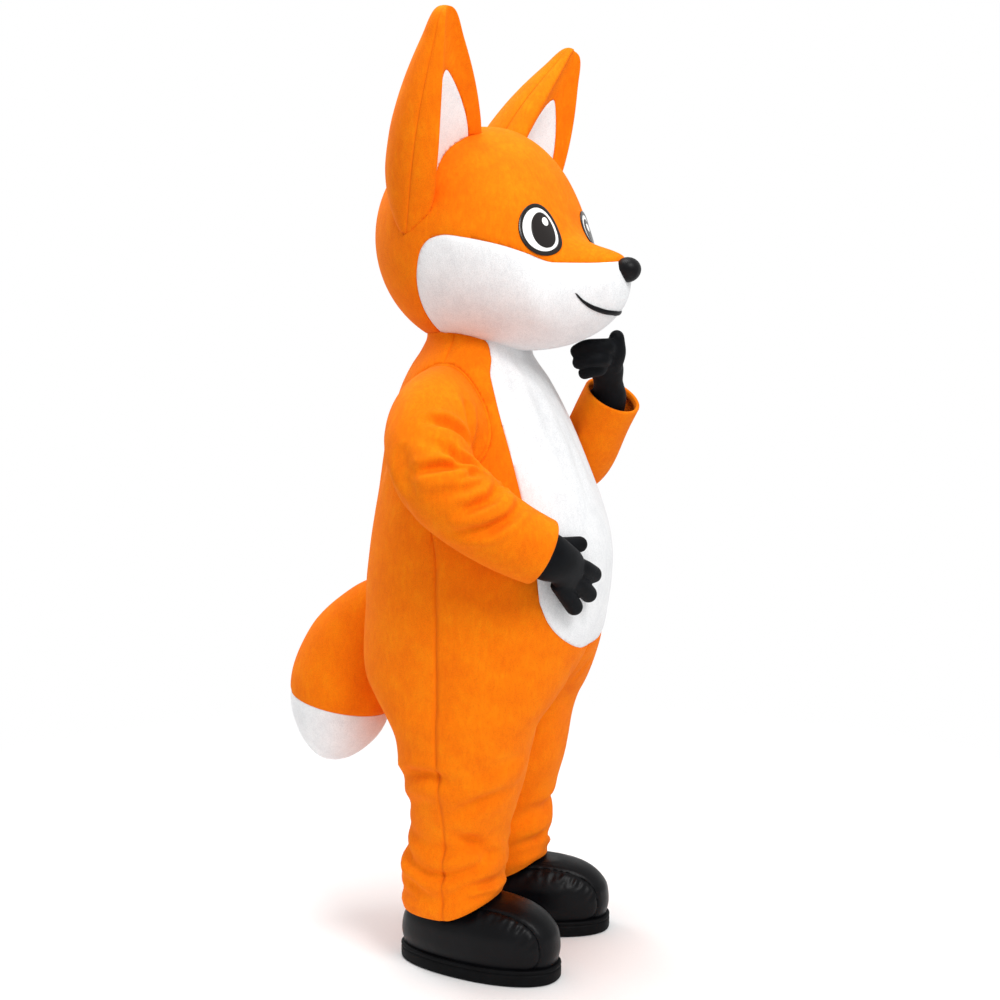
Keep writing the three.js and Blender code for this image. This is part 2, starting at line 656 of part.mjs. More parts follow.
const headPlace = new THREE.Matrix4()
  .makeRotationZ(degrees(HEAD_YAW))
  .setPosition(HEAD_CENTRE.x, HEAD_CENTRE.y, HEAD_CENTRE.z);
const onHead = (x, forward, z) => vec(x, -forward, z).applyMatrix4(headPlace);

function headSolid(grow, around = HEAD_AROUND) {
  const oval = (forward, half, top, bottom) =>
    turns(around).map((turn) => {
      const [centre, height] = [(top + bottom) / 2, (top - bottom) / 2];
      return onHead(half * Math.sin(turn), forward, centre + height * Math.cos(turn));
    });
  const back = HEAD_BACK_ANGLES.map((angle) => {
    const shrink = Math.cos(degrees(angle));
    return oval(
      -(HEAD_BACK.half + grow) * Math.sin(degrees(angle)),
      (HEAD_BACK.half + grow) * shrink,
      (HEAD_BACK.top + grow) * shrink,
      -(HEAD_BACK.bottom + grow) * shrink,
    );
  });
  const stations = HEAD_STATIONS.filter((forward) => headAt.half(forward) + 2 * grow > LEAST_SECTION);
  const front = stations.map((forward) =>
    oval(
      forward,
      headAt.half(forward) + grow,
      headAt.top(forward) + grow,
      headAt.bottom(forward) - grow,
    ),
  );
  const pole = onHead(0, -(HEAD_BACK.half + grow), 0);
  const tip = onHead(0, MUZZLE_TIP.forward + grow, MUZZLE_TIP.z);
  return toManifold(ringSolid([...back, ...front], pole, tip));
}

// The white of the face lies below a line round the head: its height at each azimuth from the
// front, the same on both sides. Behind the cheeks the line drops to the neck.
const FACE_LINE = [
  { azimuth: 0, z: -58 },
  { azimuth: 12, z: -63 },
  { azimuth: 23, z: -63 },
  { azimuth: 36, z: -46 },
  { azimuth: 50, z: -28 },
  { azimuth: 66, z: -14 },
  { azimuth: 77, z: -8 },
  { azimuth: 85, z: -14 },
  { azimuth: 91, z: -34 },
  { azimuth: 96, z: -76 },
  { azimuth: 100, z: -124 },
  { azimuth: 103, z: -172 },
  { azimuth: 105, z: -226 },
  { azimuth: 106.5, z: -330 },
];
const FACE_RADIUS = 215; // of the head at the cheeks, for lengths along the line
const FACE_STOPS = [0, 12, 23, 32, 41, 50, 58, 66, 74, 80, 84, 88, 91, 94, 97, 100, 102.5, 105];

// Everything below the face line, with the line moved up by a gap. The cut is a skirt of rings
// at FACE_CUT_REACHES from the head's upright axis.
const FACE_CUT_REACHES = [12, 110, 150, 185, 215, 250, 520];
const FACE_CUT_DEPTH = 100; // below the line's lowest place
function belowFaceLine(gap) {
  const lineHeight = column(FACE_LINE, "azimuth", "z");
  const reach = FACE_LINE.at(-1).azimuth;
  const outline = [...FACE_STOPS, reach].map((azimuth) => [
    -degrees(azimuth) * FACE_RADIUS,
    lineHeight(azimuth),
  ]);
  const right = insetOutline(outline, -gap, false).map(([across, z]) => [across / FACE_RADIUS, z]);
  right[0][0] = 0;
  const left = right.slice(1).map(([turn, z]) => [-turn, z]);
  const foot = FACE_LINE.at(-1).z;
  const behind = [0.8, 1.2].map((turn) => [Math.PI * turn, foot]);
  const line = [...right.toReversed(), ...left, ...behind];
  const ringOf = (distance, height) =>
    line.map(([turn, z]) =>
      onHead(distance * Math.sin(turn), distance * Math.cos(turn), height ?? z),
    );
  const top = FACE_CUT_REACHES.map((distance) => ringOf(distance));
  const bottom = FACE_CUT_REACHES.map((distance) => ringOf(distance, foot - FACE_CUT_DEPTH));
  return toManifold(wallBetween(top, bottom, true));
}

const head = new THREE.Group();
costume.add(head);
const headOuter = headSolid(0);
// The head's opening follows the suit's neck, which runs up into it.
const NECK_CUT = { foot: 1291, top: 1460 };
const neckLevels = [NECK_CUT.foot, ...SUIT_LEVELS.filter((level) => level > NECK_CUT.foot)];
const neckRings = neckLevels.map((level) => suitRing(level, SEAM));
neckRings.push(suitRing(NECK_LEVELS.at(-1), SEAM).map((point) => point.setZ(NECK_CUT.top)));
const neckCut = toManifold(
  ringSolid(neckRings, vec(0, BODY_MIDDLE_Y, NECK_CUT.foot), vec(0, BODY_MIDDLE_Y, NECK_CUT.top)),
);
const headShell = headOuter.subtract(headSolid(-HEAD_WALL, HEAD_AROUND / 2)).subtract(neckCut);
addPiece(head, "head_face", toGeometry(mainBody(headShell.intersect(belowFaceLine(0)))), WHITE);
addPiece(head, "head_crown", toGeometry(mainBody(headShell.subtract(belowFaceLine(SEAM)))), ORANGE);

const FACE_REACH = 460; // no part of the head is further from its upright axis
const FACE_HALVINGS = 30;
// Point on the head's outer face, straight out from its upright axis at an azimuth from the
// front (positive to the wearer's left) and a height, then lifted off the face.
function facePoint(azimuth, height, lift = 0) {
  const [sine, cosine] = [Math.sin(degrees(azimuth)), Math.cos(degrees(azimuth))];
  const isInside = (reach) => {
    const forward = reach * cosine;
    const [top, bottom] = [headAt.top(forward), headAt.bottom(forward)];
    const up = (height - (top + bottom) / 2) / ((top - bottom) / 2);
    return forward < MUZZLE_TIP.forward && ((reach * sine) / headAt.half(forward)) ** 2 + up * up < 1;
  };
  let [low, high] = [0, FACE_REACH];
  for (let i = 0; i < FACE_HALVINGS; i++) {
    const mid = (low + high) / 2;
    if (isInside(mid)) low = mid;
    else high = mid;
  }
  const point = onHead(low * sine, low * cosine, height);
  if (lift === 0) return point;
  const normal = normalAt((u, v) => facePoint(u, v), azimuth, height, 0.6, 2, 1);
  return point.addScaledVector(normal, lift);
}

const seatedOn = (solid, base) => toGeometry(mainBody(toManifold(solid).subtract(base)));
const headGrown = headSolid(SEAM);

// Eyes: upright ovals of stacked plates, the same on both sides.
const EYE = { azimuth: 27, height: 3, half: 44, tall: 53 };
const EYE_RADIUS = 205; // of the head at the eyes, for widths along its face
const EYE_LIFT = 1; // off the head
const EYE_LAYER_GAP = 0.9;
const EYE_PLATE = 1.6;
const EYE_LAYERS = [
  { name: "rim", across: 0, up: 0, half: 1, tall: 1, hole: 0.85, layer: 0, finish: EYE_DARK },
  { name: "white", across: 0, up: 0, half: 0.835, tall: 0.84, layer: 0, finish: EYE_WHITE },
  { name: "iris", across: -0.12, up: -0.02, half: 0.58, tall: 0.68, layer: 1, finish: EYE_DARK },
  { name: "glint", across: -0.28, up: 0.3, half: 0.16, tall: 0.16, layer: 2, finish: EYE_WHITE },
];
function eyePoint(side, layer, share, turn, lift) {
  const across = EYE.half * (layer.across + layer.half * share * Math.sin(turn));
  const up = EYE.tall * (layer.up + layer.tall * share * Math.cos(turn));
  const azimuth = EYE.azimuth + THREE.MathUtils.radToDeg(across / EYE_RADIUS);
  return facePoint(side * azimuth, EYE.height + up, lift);
}
function eyePlate(side, layer) {
  const low = EYE_LIFT + layer.layer * (EYE_PLATE + EYE_LAYER_GAP);
  const around = layer.half > 0.3 ? 12 : 6;
  const ring = (share, lift) => turns(around).map((turn) => eyePoint(side, layer, share, turn, lift));
  if (layer.hole) {
    const shares = [layer.hole, 1];
    const grid = (lift) => shares.map((share) => ring(share, lift));
    return seatedOn(wallBetween(grid(low + EYE_PLATE), grid(low), true), headGrown);
  }
  const rings = [ring(0.5, low), ring(1, low), ring(1, low + EYE_PLATE), ring(0.5, low + EYE_PLATE)];
  const centre = (lift) => eyePoint(side, layer, 0, 0, lift);
  return seatedOn(ringSolid(rings, centre(low), centre(low + EYE_PLATE)), headGrown);
}

// Mouth: one plain upturned line, the same on both sides.
const SMILE = [
  { azimuth: 0, height: -166 },
  { azimuth: 5, height: -164 },
  { azimuth: 10, height: -156 },
  { azimuth: 14, height: -143 },
  { azimuth: 17, height: -126 },
];
const SMILE_WIDTH = 8;
const SMILE_LIFT = 1; // off the head
const SMILE_THICK = 1.4;
const SMILE_STEPS = 14;
function smile() {
  const heightAt = column(SMILE, "azimuth", "height");
  const reach = SMILE.at(-1).azimuth;
  const grid = (lift) =>
    steps(-reach, reach, SMILE_STEPS).map((azimuth) => {
      const ease = Math.cos((azimuth / reach) * 0.42 * Math.PI);
      const half = (SMILE_WIDTH / 2) * (0.45 + 0.55 * ease);
      return [-half, half].map((off) => facePoint(azimuth, heightAt(Math.abs(azimuth)) + off, lift));
    });
  return wallBetween(grid(SMILE_LIFT + SMILE_THICK), grid(SMILE_LIFT));
}
addPiece(head, "mouth", smile(), BLACK_CLOTH);

const NOSE = { forward: 360, z: -77, half: 27, deep: 28, tall: 26 };
const noseBall = new THREE.SphereGeometry(1, 10, 8)
  .rotateX(Math.PI / 2)
  .scale(NOSE.half, NOSE.deep, NOSE.tall)
  .translate(0, -NOSE.forward, NOSE.z)
  .applyMatrix4(headPlace);
addPiece(head, "nose", seatedOn(noseBall, headGrown), BLACK_CLOTH);

// Ears, stuffed: a rounded back, a front that is dished inside its rim, and a white panel laid
// in the dish. Half width across the ear and half depth, at each distance down from the tip.
const EAR_TIP = { x: 268, forward: 89, z: 437 };
const EAR_BASE = { x: 172, forward: 4, z: 182 };
const EAR = [
  { down: 3, half: 14, deep: 13 },
  { down: 12, half: 25, deep: 23 },
  { down: 30, half: 35, deep: 31 },
  { down: 60, half: 46, deep: 41 },
  { down: 95, half: 61, deep: 54 },
  { down: 143, half: 80, deep: 70 },
  { down: 200, half: 98, deep: 85 },
  { down: 260, half: 111, deep: 96 },
  { down: 330, half: 119, deep: 100 },
  { down: 385, half: 120, deep: 90 },
  { down: 425, half: 118, deep: 68 },
  { down: 450, half: 114, deep: 42 },
  { down: 462, half: 108, deep: 16 },
];
const EAR_END = EAR.at(-1).down;
const EAR_RIM = 0.8; // the rim stands at this share of the half width
const EAR_FACE = 0.6; // and this share of the half depth ahead of the middle
const EAR_DISH = 0.42; // how deep the front is dished, as a share of the half depth
const EAR_SEAM = 0.1; // back and front meet this share of the half depth ahead of the middle
const EAR_CLOTH = 3;
const EAR_PANEL_LIFT = 2.4; // the white panel bridges the dish a little
const EAR_PANEL_TOP = 128; // the white panel starts this far below the tip
const EAR_PANEL_RISE = 150; // and is at its full width this much further down
const EAR_PANEL_HALF = 0.7; // share of the dish's half width that it fills
const EAR_PANEL_ROWS = [3, 10, 22, 42, 68, 100, 140, 185, 235, 290];
const EAR_AROUND = 12;
const earAt = columns(EAR, "down");

function earParts(side) {
  const place = ({ x, forward, z }) => onHead(side * x, forward, z);
  const tip = place(EAR_TIP);
  const down = place(EAR_BASE).sub(tip).normalize();
  const facing = onHead(0, 1, 0).sub(onHead(0, 0, 0));
  const forward = facing.addScaledVector(down, -facing.dot(down)).normalize();
  const across = down.clone().cross(forward);
  const at = (x, y, along) =>
    tip.clone().addScaledVector(across, x).addScaledVector(forward, y).addScaledVector(down, along);
  const rings = EAR.map((row) =>
    turns(EAR_AROUND).map((turn) => at(row.half * Math.sin(turn), row.deep * Math.cos(turn), row.down)),
  );
  const whole = toManifold(ringSolid(rings, tip, at(0, 0, EAR_END + 4)));
  const dish = (u, along) => {
    const [half, deep] = [earAt.half(along), earAt.deep(along)];
    return at(u * EAR_RIM * half, deep * (EAR_FACE - EAR_DISH * (1 - u * u)), along);
  };
  const normal = (u, along) => {
    const found = normalAt(dish, u, along, 0.04, 3, 1);
    return found.multiplyScalar(Math.sign(found.dot(forward)));
  };
  const sunk = (u, along, depth) => dish(u, along).addScaledVector(normal(u, along), -depth);
  const rows = [-20, ...EAR.map((row) => row.down), EAR_END + 30];
  const inRange = (along) => Math.min(Math.max(along, 3), EAR_END);
  // Everything ahead of a surface that is given by a share across and a distance down.
  const ahead = (surface, shares) => {
    const near = rows.map((along) =>
      shares.map((u) => surface(u, inRange(along)).addScaledVector(down, along - inRange(along))),
    );
    const far = near.map((row) => row.map((point) => point.clone().addScaledVector(forward, 260)));
    return toManifold(wallBetween(far, near));
  };
  const seam = (gap) => (u, along) =>
    at(u * earAt.half(along), EAR_SEAM * earAt.deep(along) + gap, along);
  const dished = ahead((u, along) => sunk(u, along, 0), steps(-1.6, 1.6, 8));
  const seamCut = ahead(seam(0), [-1.5, 1.5]);
  const back = whole.subtract(seamCut);
  const front = whole.intersect(ahead(seam(SEAM), [-1.5, 1.5])).subtract(dished);
  const panelHalf = (along) => {
    const rise = Math.min(1, (along - EAR_PANEL_TOP) / EAR_PANEL_RISE);
    return EAR_PANEL_HALF * Math.sqrt(Math.max(0, 1 - (1 - rise) ** 2)) ** 1.2;
  };
  const laid = (lift) =>
    EAR_PANEL_ROWS.map((row) => row + EAR_PANEL_TOP).map((along) =>
      steps(-panelHalf(along), panelHalf(along), 4).map((u) => sunk(u, along, -lift)),
    );
  const inner = toManifold(wallBetween(laid(EAR_PANEL_LIFT + EAR_CLOTH), laid(EAR_PANEL_LIFT)));
  const trim = (solid) => toGeometry(mainBody(solid.subtract(headGrown)));
  return { back: trim(back), front: trim(front), inner: trim(inner) };
}

for (const [name, side] of [["left", 1], ["right", -1]]) {
  const ear = earParts(side);
  addPiece(head, `ear_back_${name}`, ear.back, ORANGE);
  addPiece(head, `ear_front_${name}`, ear.front, ORANGE);
  addPiece(head, `ear_inner_${name}`, ear.inner, WHITE);
  for (const layer of EYE_LAYERS)
    addPiece(head, `eye_${layer.name}_${name}`, eyePlate(side, layer), layer.finish);
}

// Gloves: a palm and four digits, hollow, open at the wrist. The palm is an oval tube.
const DIGIT_AROUND = 7;
const PALM_AROUND = 10;
const PALM_SHARES = [0, 0.18, 0.38, 0.6, 0.82, 1]; // where along it the palm's rings stand
const WRIST_CUT = 20; // how far the hollow runs out past the wrist, to open it
function digitSolid({ line, radius, end }, grow) {
  const points = line.map(([x, y, z]) => vec(x, y, z));
  const length = new THREE.CatmullRomCurve3(points, false, "centripetal").getLength();
  const tip = end + grow;
  const last = 1 + grow / length;
  const shares = [0, 0.3, 0.62, last - tip / length, last - (0.3 * tip) / length];
  const sizes = [radius, radius, (radius + end) / 2, end, end * 0.72];
  const frames = framesAlong(points, shares, vec(0.2, 0.3, 0.9));
  const rings = frames.map(({ centre, up, across }, i) =>
    turns(DIGIT_AROUND).map((turn) =>
      centre
        .clone()
        .addScaledVector(up, (sizes[i] + grow * (sizes[i] / end)) * Math.cos(turn))
        .addScaledVector(across, (sizes[i] + grow * (sizes[i] / end)) * Math.sin(turn)),
    ),
  );
  const finish = frames.at(-1);
  const point = finish.centre.clone().addScaledVector(finish.along, 0.3 * tip);
  return toManifold(ringSolid(rings, frames[0].centre, point));
}

function palmSolid(rows, facing, grow) {
  const table = rows.map((row, i) => ({ ...row, at: i / (rows.length - 1) }));
  const thick = column(table, "at", "thick");
  const wide = column(table, "at", "wide");
  const line = rows.map(({ x, y, z }) => vec(x, y, z));
  const frames = framesAlong(line, PALM_SHARES, facing);
  const rings = frames.map(({ centre, up, across, at }) =>
    turns(PALM_AROUND).map((turn) =>
      centre
        .clone()
        .addScaledVector(up, (thick(at) + grow) * power(Math.cos(turn), 0.9))
        .addScaledVector(across, (wide(at) + grow) * power(Math.sin(turn), 0.9)),
    ),
  );
  const [first, last] = [frames[0], frames.at(-1)];
  const start = first.centre.clone();
  if (grow < 0) {
    start.addScaledVector(first.along, -WRIST_CUT);
    rings.unshift(rings[0].map((p) => p.clone().addScaledVector(first.along, -WRIST_CUT)));
  }
  const finish = last.centre.clone().addScaledVector(last.along, 0.5 * thick(1) + grow);
  return toManifold(ringSolid(rings, start, finish));
}

function glove({ palm, facing, digits }) {
  const whole = (grow) =>
    digits.reduce((sum, digit) => sum.add(digitSolid(digit, grow)), palmSolid(palm, facing, grow));
  return toGeometry(mainBody(whole(0).subtract(whole(-GLOVE_WALL))));
}

// A place over the belly, on the wearer's right, this far off its outer face.
function overBelly(x, level, off) {
  const phi = phiAt(x, level);
  const spot = bodyPoint(-1, phi, level).addScaledVector(bodyNormal(-1, phi, level), off);
  return [spot.x, spot.y, spot.z];
}
const RIGHT_GLOVE = {
  facing: vec(-0.55, -0.83, 0),
  palm: [
    { x: -302, y: -192, z: 961, thick: 50, wide: 50 },
    { x: -268, y: -240, z: 938, thick: 44, wide: 50 },
    { x: -232, y: -262, z: 922, thick: 33, wide: 42 },
    { x: -204, y: -272, z: 906, thick: 29, wide: 44 },
    { x: -176, y: -280, z: 888, thick: 26, wide: 42 },
    { x: -158, y: -284, z: 876, thick: 20, wide: 34 },
  ],
  digits: [
    {
      radius: 19,
      end: 16,
      line: [overBelly(180, 908, 22), overBelly(140, 898, 23), overBelly(84, 876, 18)],
    },
    {
      radius: 19,
      end: 16,
      line: [overBelly(180, 884, 22), overBelly(142, 862, 23), overBelly(92, 830, 18)],
    },
    {
      radius: 18,
      end: 15,
      line: [overBelly(188, 868, 22), overBelly(170, 842, 23), overBelly(146, 812, 18)],
    },
    {
      radius: 21,
      end: 17,
      line: [[-212, -264, 922], overBelly(176, 948, 25), overBelly(118, 948, 19)],
    },
  ],
};
const LEFT_GLOVE = {
  facing: vec(-0.8, 0, -0.6),
  palm: [
    { x: 194.6, y: -215, z: 1212, thick: 50, wide: 54 },
    { x: 180, y: -238, z: 1246, thick: 38, wide: 41 },
    { x: 152, y: -245, z: 1278, thick: 31, wide: 33 },
    { x: 118, y: -250, z: 1308, thick: 30, wide: 39 },
    { x: 84, y: -252, z: 1329, thick: 27, wide: 41 },
    { x: 62, y: -254, z: 1336, thick: 20, wide: 35 },
  ],
  digits: [
    { radius: 18, end: 15, line: [[72, -276, 1345], [34, -278, 1357], [10, -242, 1356], [8, -202, 1338]] },
    { radius: 18, end: 15, line: [[70, -260, 1328], [28, -268, 1328], [2, -240, 1325], [4, -206, 1313]] },
    { radius: 17, end: 14, line: [[74, -244, 1310], [34, -254, 1302], [10, -236, 1296], [14, -214, 1288]] },
    { radius: 20, end: 16, line: [[104, -270, 1312], [68, -290, 1350], [46, -292, 1390]] },
  ],
};
addPiece(costume, "glove_left", glove(LEFT_GLOVE), BLACK_CLOTH);
addPiece(costume, "glove_right", glove(RIGHT_GLOVE), BLACK_CLOTH);

// Boots: a rubber sole, a vamp down the middle of the toe, and a quarter round sides and heel.
// Outlines of the upper at each height: where its toe and heel end, and its half width.
const BOOT = [
  { z: 36, toe: 217, heel: 149, half: 86 },
  { z: 66, toe: 223, heel: 154, half: 94 },
  { z: 98, toe: 220, heel: 149, half: 93 },
  { z: 128, toe: 200, heel: 126, half: 82 },
  { z: 150, toe: 166, heel: 96, half: 65 },
  { z: 163, toe: 116, heel: 70, half: 42 },
];
const BOOT_TOP = { z: 168, forward: 20 };
const BOOT_SHOULDER = 150; // above this height the wall's thickness is taken off the top too
const SOLE_MIDDLE_Y = -30;
const BOOT_AROUND = 16;
const BOOT_SQUARE = 2.3; // exponent of the outline seen from above
const HEEL_NARROW = 0.1;
const SOLE_MARGIN = 7;
const VAMP_TOE_HALF = 46; // the vamp widens from the toe to the instep
const VAMP_INSTEP_HALF = 66;
const VAMP_LENGTH = 260;
const ANKLE = { forward: -34, radius: 58 };
const BOOTS = [
  { name: "left", x: 168, y: -20, turn: 9 },
  { name: "right", x: -104, y: -1, turn: -7 },
];

function bootOutline(toe, heel, half, z, grow) {
  const middle = (toe - heel) / 2;
  const length = (toe + heel) / 2 + grow;
  return turns(BOOT_AROUND).map((turn) => {
    const along = power(Math.cos(turn), 2 / BOOT_SQUARE);
    const narrow = 1 - HEEL_NARROW * THREE.MathUtils.smoothstep(-along, -0.4, 1);
    const x = (half + grow) * narrow * power(Math.sin(turn), 2 / BOOT_SQUARE);
    return vec(x, -(middle + length * along), z);
  });
}

function upperSolid(grow) {
  const rings = BOOT.map(({ z, toe, heel, half }) =>
    bootOutline(toe, heel, half, z > BOOT_SHOULDER ? z + grow : z, grow),
  );
  const { toe, heel, half } = BOOT[0];
  if (grow < 0) rings.unshift(bootOutline(toe, heel, half, SOLE_HEIGHT - 20, grow));
  const end = vec(0, -BOOT_TOP.forward, BOOT_TOP.z + grow);
  return toManifold(ringSolid(rings, vec(0, SOLE_MIDDLE_Y, rings[0][0].z), end));
}

function bootPieces() {
  const ankle = new THREE.CylinderGeometry(ANKLE.radius, ANKLE.radius, 120, 28)
    .rotateX(Math.PI / 2)
    .translate(0, -ANKLE.forward, SOLE_HEIGHT + 130);
  const upper = upperSolid(0).subtract(upperSolid(-BOOT_WALL)).subtract(toManifold(ankle));
  const back = -ANKLE.forward;
  // The vamp's outline from above, wider by a gap, as a post to cut the upper with.
  const wedge = (gap) => {
    const outline = new THREE.Shape([
      new THREE.Vector2(-VAMP_TOE_HALF - gap, back - VAMP_LENGTH),
      new THREE.Vector2(VAMP_TOE_HALF + gap, back - VAMP_LENGTH),
      new THREE.Vector2(VAMP_INSTEP_HALF + gap, back),
      new THREE.Vector2(-VAMP_INSTEP_HALF - gap, back),
    ]);
    return toManifold(new THREE.ExtrudeGeometry(outline, { depth: 300, bevelEnabled: false }));
  };
  const vamp = mainBody(upper.intersect(wedge(0)));
  const quarter = mainBody(upper.subtract(wedge(SEAM)));
  const [toe, heel, half] = ["toe", "heel", "half"].map((name) => BOOT[0][name] + SOLE_MARGIN);
  const edge = [
    { z: 0, in: -4 },
    { z: 5, in: 0 },
    { z: SOLE_HEIGHT - 5, in: 0 },
    { z: SOLE_HEIGHT, in: -2.5 },
  ];
  const soleRings = edge.map((row) => bootOutline(toe, heel, half, row.z, row.in));
  const sole = ringSolid(soleRings, vec(0, SOLE_MIDDLE_Y, 0), vec(0, SOLE_MIDDLE_Y, SOLE_HEIGHT));
  return {
    sole,
    vamp: toGeometry(vamp).translate(0, 0, SEAM),
    quarter: toGeometry(quarter).translate(0, 0, SEAM),
  };
}
const bootShapes = bootPieces();
for (const { name, x, y, turn } of BOOTS) {
  const place = new THREE.Matrix4().makeRotationZ(degrees(turn)).setPosition(x, y, 0);
  const placed = (geometry) => geometry.clone().applyMatrix4(place);
  addPiece(costume, `boot_sole_${name}`, placed(bootShapes.sole), BLACK_RUBBER);
  addPiece(costume, `boot_vamp_${name}`, placed(bootShapes.vamp), BLACK_LEATHER);
  addPiece(costume, `boot_quarter_${name}`, placed(bootShapes.quarter), BLACK_LEATHER);
}

export default costume;
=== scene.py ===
# A plush fox costume dressed for its picture: short pile on suit, head, ears and tail, stretch
# cloth gloves, padded boots on rubber soles.
# Tables are in millimetres: folds and camera in the frame of the CAD model, head, ears and face from
# the head's middle, all else with heights above the floor. Every mesh is in metres.
from math import asin, atan2, cos, degrees, exp, hypot, pi, radians, sin, sqrt
import bmesh
import bpy
import numpy as np
from mathutils import Matrix, Vector
from mathutils.bvhtree import BVHTree
from mathutils.kdtree import KDTree


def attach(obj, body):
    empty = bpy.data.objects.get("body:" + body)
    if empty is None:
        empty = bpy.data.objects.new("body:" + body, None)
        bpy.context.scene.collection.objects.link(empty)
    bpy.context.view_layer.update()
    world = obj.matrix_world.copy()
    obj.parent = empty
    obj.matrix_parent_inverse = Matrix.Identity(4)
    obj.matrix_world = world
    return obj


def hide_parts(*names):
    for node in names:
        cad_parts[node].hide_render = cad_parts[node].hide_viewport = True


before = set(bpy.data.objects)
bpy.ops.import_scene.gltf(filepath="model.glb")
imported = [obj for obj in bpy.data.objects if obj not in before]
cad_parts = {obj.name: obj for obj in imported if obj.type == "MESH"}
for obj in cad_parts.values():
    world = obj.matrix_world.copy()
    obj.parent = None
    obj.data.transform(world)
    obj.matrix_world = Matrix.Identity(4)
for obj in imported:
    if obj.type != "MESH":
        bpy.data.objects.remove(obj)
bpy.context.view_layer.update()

MM = 0.001
FLOOR = -1372  # height of the floor under the frame's origin
PLUSH_WALL = 3
HEAD_WALL = 9
GLOVE_WALL = 2
BOOT_WALL = 3.5


# Small helpers

def place(x, y, z):
    return Vector((x, y, z)) * MM


def table(columns, *rows):
    """Rows of values as dicts that go by the columns' names."""
    return [dict(zip(columns.split(), row)) for row in rows]


def turns(count):
    """The angles of places spaced evenly round a circle."""
    return [2 * pi * i / count for i in range(count)]


def bell(gap, width):
    """1 at no gap, and next to nothing from two widths on."""
    return exp(-((gap / width) ** 2))


def linear(hex_colour):
    parts = [int(hex_colour[i:i + 2], 16) / 255 for i in (1, 3, 5)]
    return [p / 12.92 if p <= 0.04045 else ((p + 0.055) / 1.055) ** 2.4 for p in parts] + [1.0]


def smoothed(rows, driver, name):
    """A smooth function through one column of a table that is sorted by its driving column."""
    xs = [row[driver] for row in rows]
    ys = [row[name] for row in rows]
    chords = [(b - a) / (q - p) for a, b, p, q in zip(ys, ys[1:], xs, xs[1:])]
    inner = [0 if a * b <= 0 else 2 * a * b / (a + b) for a, b in zip(chords, chords[1:])]
    slopes = [chords[0], *inner, chords[-1]]

    def value(x):
        if x <= xs[0]:
            return ys[0]
        if x >= xs[-1]:
            return ys[-1]
        i = next(k for k in range(len(xs)) if xs[k] > x) - 1
        step = xs[i + 1] - xs[i]
        t = (x - xs[i]) / step
        return (
            (2 * t ** 3 - 3 * t ** 2 + 1) * ys[i]
            + (t ** 3 - 2 * t ** 2 + t) * step * slopes[i]
            + (3 * t ** 2 - 2 * t ** 3) * ys[i + 1]
            + (t ** 3 - t ** 2) * step * slopes[i + 1]
        )

    return value


def ease(low, high, x):
    t = min(1, max(0, (x - low) / (high - low)))
    return t * t * (3 - 2 * t)


def signed_power(value, exponent):
    return (1 if value >= 0 else -1) * abs(value) ** exponent


# Materials

def fill(tree, node, sockets):
    """Gives a node's sockets their values; a socket given as a value is linked."""
    for socket, value in sockets.items():
        if isinstance(value, bpy.types.NodeSocket):
            tree.links.new(value, node.inputs[socket])
        else:
            node.inputs[socket].default_value = value


def add(tree, kind, sockets=None, **settings):
    """A node with its settings and its sockets' values."""
    made = tree.nodes.new(kind)
    for name, value in settings.items():
        setattr(made, name, value)
    fill(tree, made, sockets or {})
    return made


def new_material(name):
    """A material with its tree, its surface and the place on the object."""
    material = bpy.data.materials.new(name)
    material.use_nodes = True
    tree = material.node_tree
    tree.nodes.clear()
    surface = add(tree, "ShaderNodeBsdfPrincipled")
    add(tree, "ShaderNodeOutputMaterial", {"Surface": surface.outputs["BSDF"]})
    return material, tree, surface, add(tree, "ShaderNodeTexCoord").outputs["Object"]


def noise_at(tree, vector, size_mm, detail=2.0, roughness=0.5, distortion=0.0):
    """Noise whose blobs are about size_mm across."""
    return add(tree, "ShaderNodeTexNoise", {
        "Vector": vector,
        "Scale": 1 / (size_mm * MM),
        "Detail": detail,
        "Roughness": roughness,
        "Distortion": distortion,
    }).outputs["Fac"]


def ramp(tree, factor, stops):
    made = add(tree, "ShaderNodeValToRGB", {"Fac": factor})
    elements = made.color_ramp.elements
    while len(elements) < len(stops):
        elements.new(0.5)
    for element, (position, colour) in zip(elements, stops):
        element.position = position
        element.color = linear(colour)
    return made.outputs["Color"]


def mixed(tree, factor, first, second, blend="MIX"):
    colours = {"Factor": factor, 6: first, 7: second}  # 6 and 7 are the mix node's colour sockets
    return add(tree, "ShaderNodeMix", colours, data_type="RGBA", blend_type=blend).outputs[2]


def ranged(tree, value, source, target):
    """A value taken from one range to another."""
    ends = zip(("From Min", "From Max", "To Min", "To Max"), (*source, *target))
    return add(tree, "ShaderNodeMapRange", {"Value": value, **dict(ends)}).outputs[0]


def bumps(tree, layers):
    """Several heights on top of each other: each is (height socket, depth in mm, strength)."""
    normal = None
    for height, depth, strength in layers:
        sockets = {"Height": height, "Distance": depth * MM, "Strength": strength}
        if normal is not None:
            sockets["Normal"] = normal
        normal = add(tree, "ShaderNodeBump", sockets).outputs["Normal"]
    return normal


PILE = 1.7  # mm between tufts; the real pile is finer and is drawn this coarse so that it shows
NAP = 9  # mm, the size of the patches in which the pile lies one way
CLOUD = 55  # mm, the size of the broad lighter and darker patches


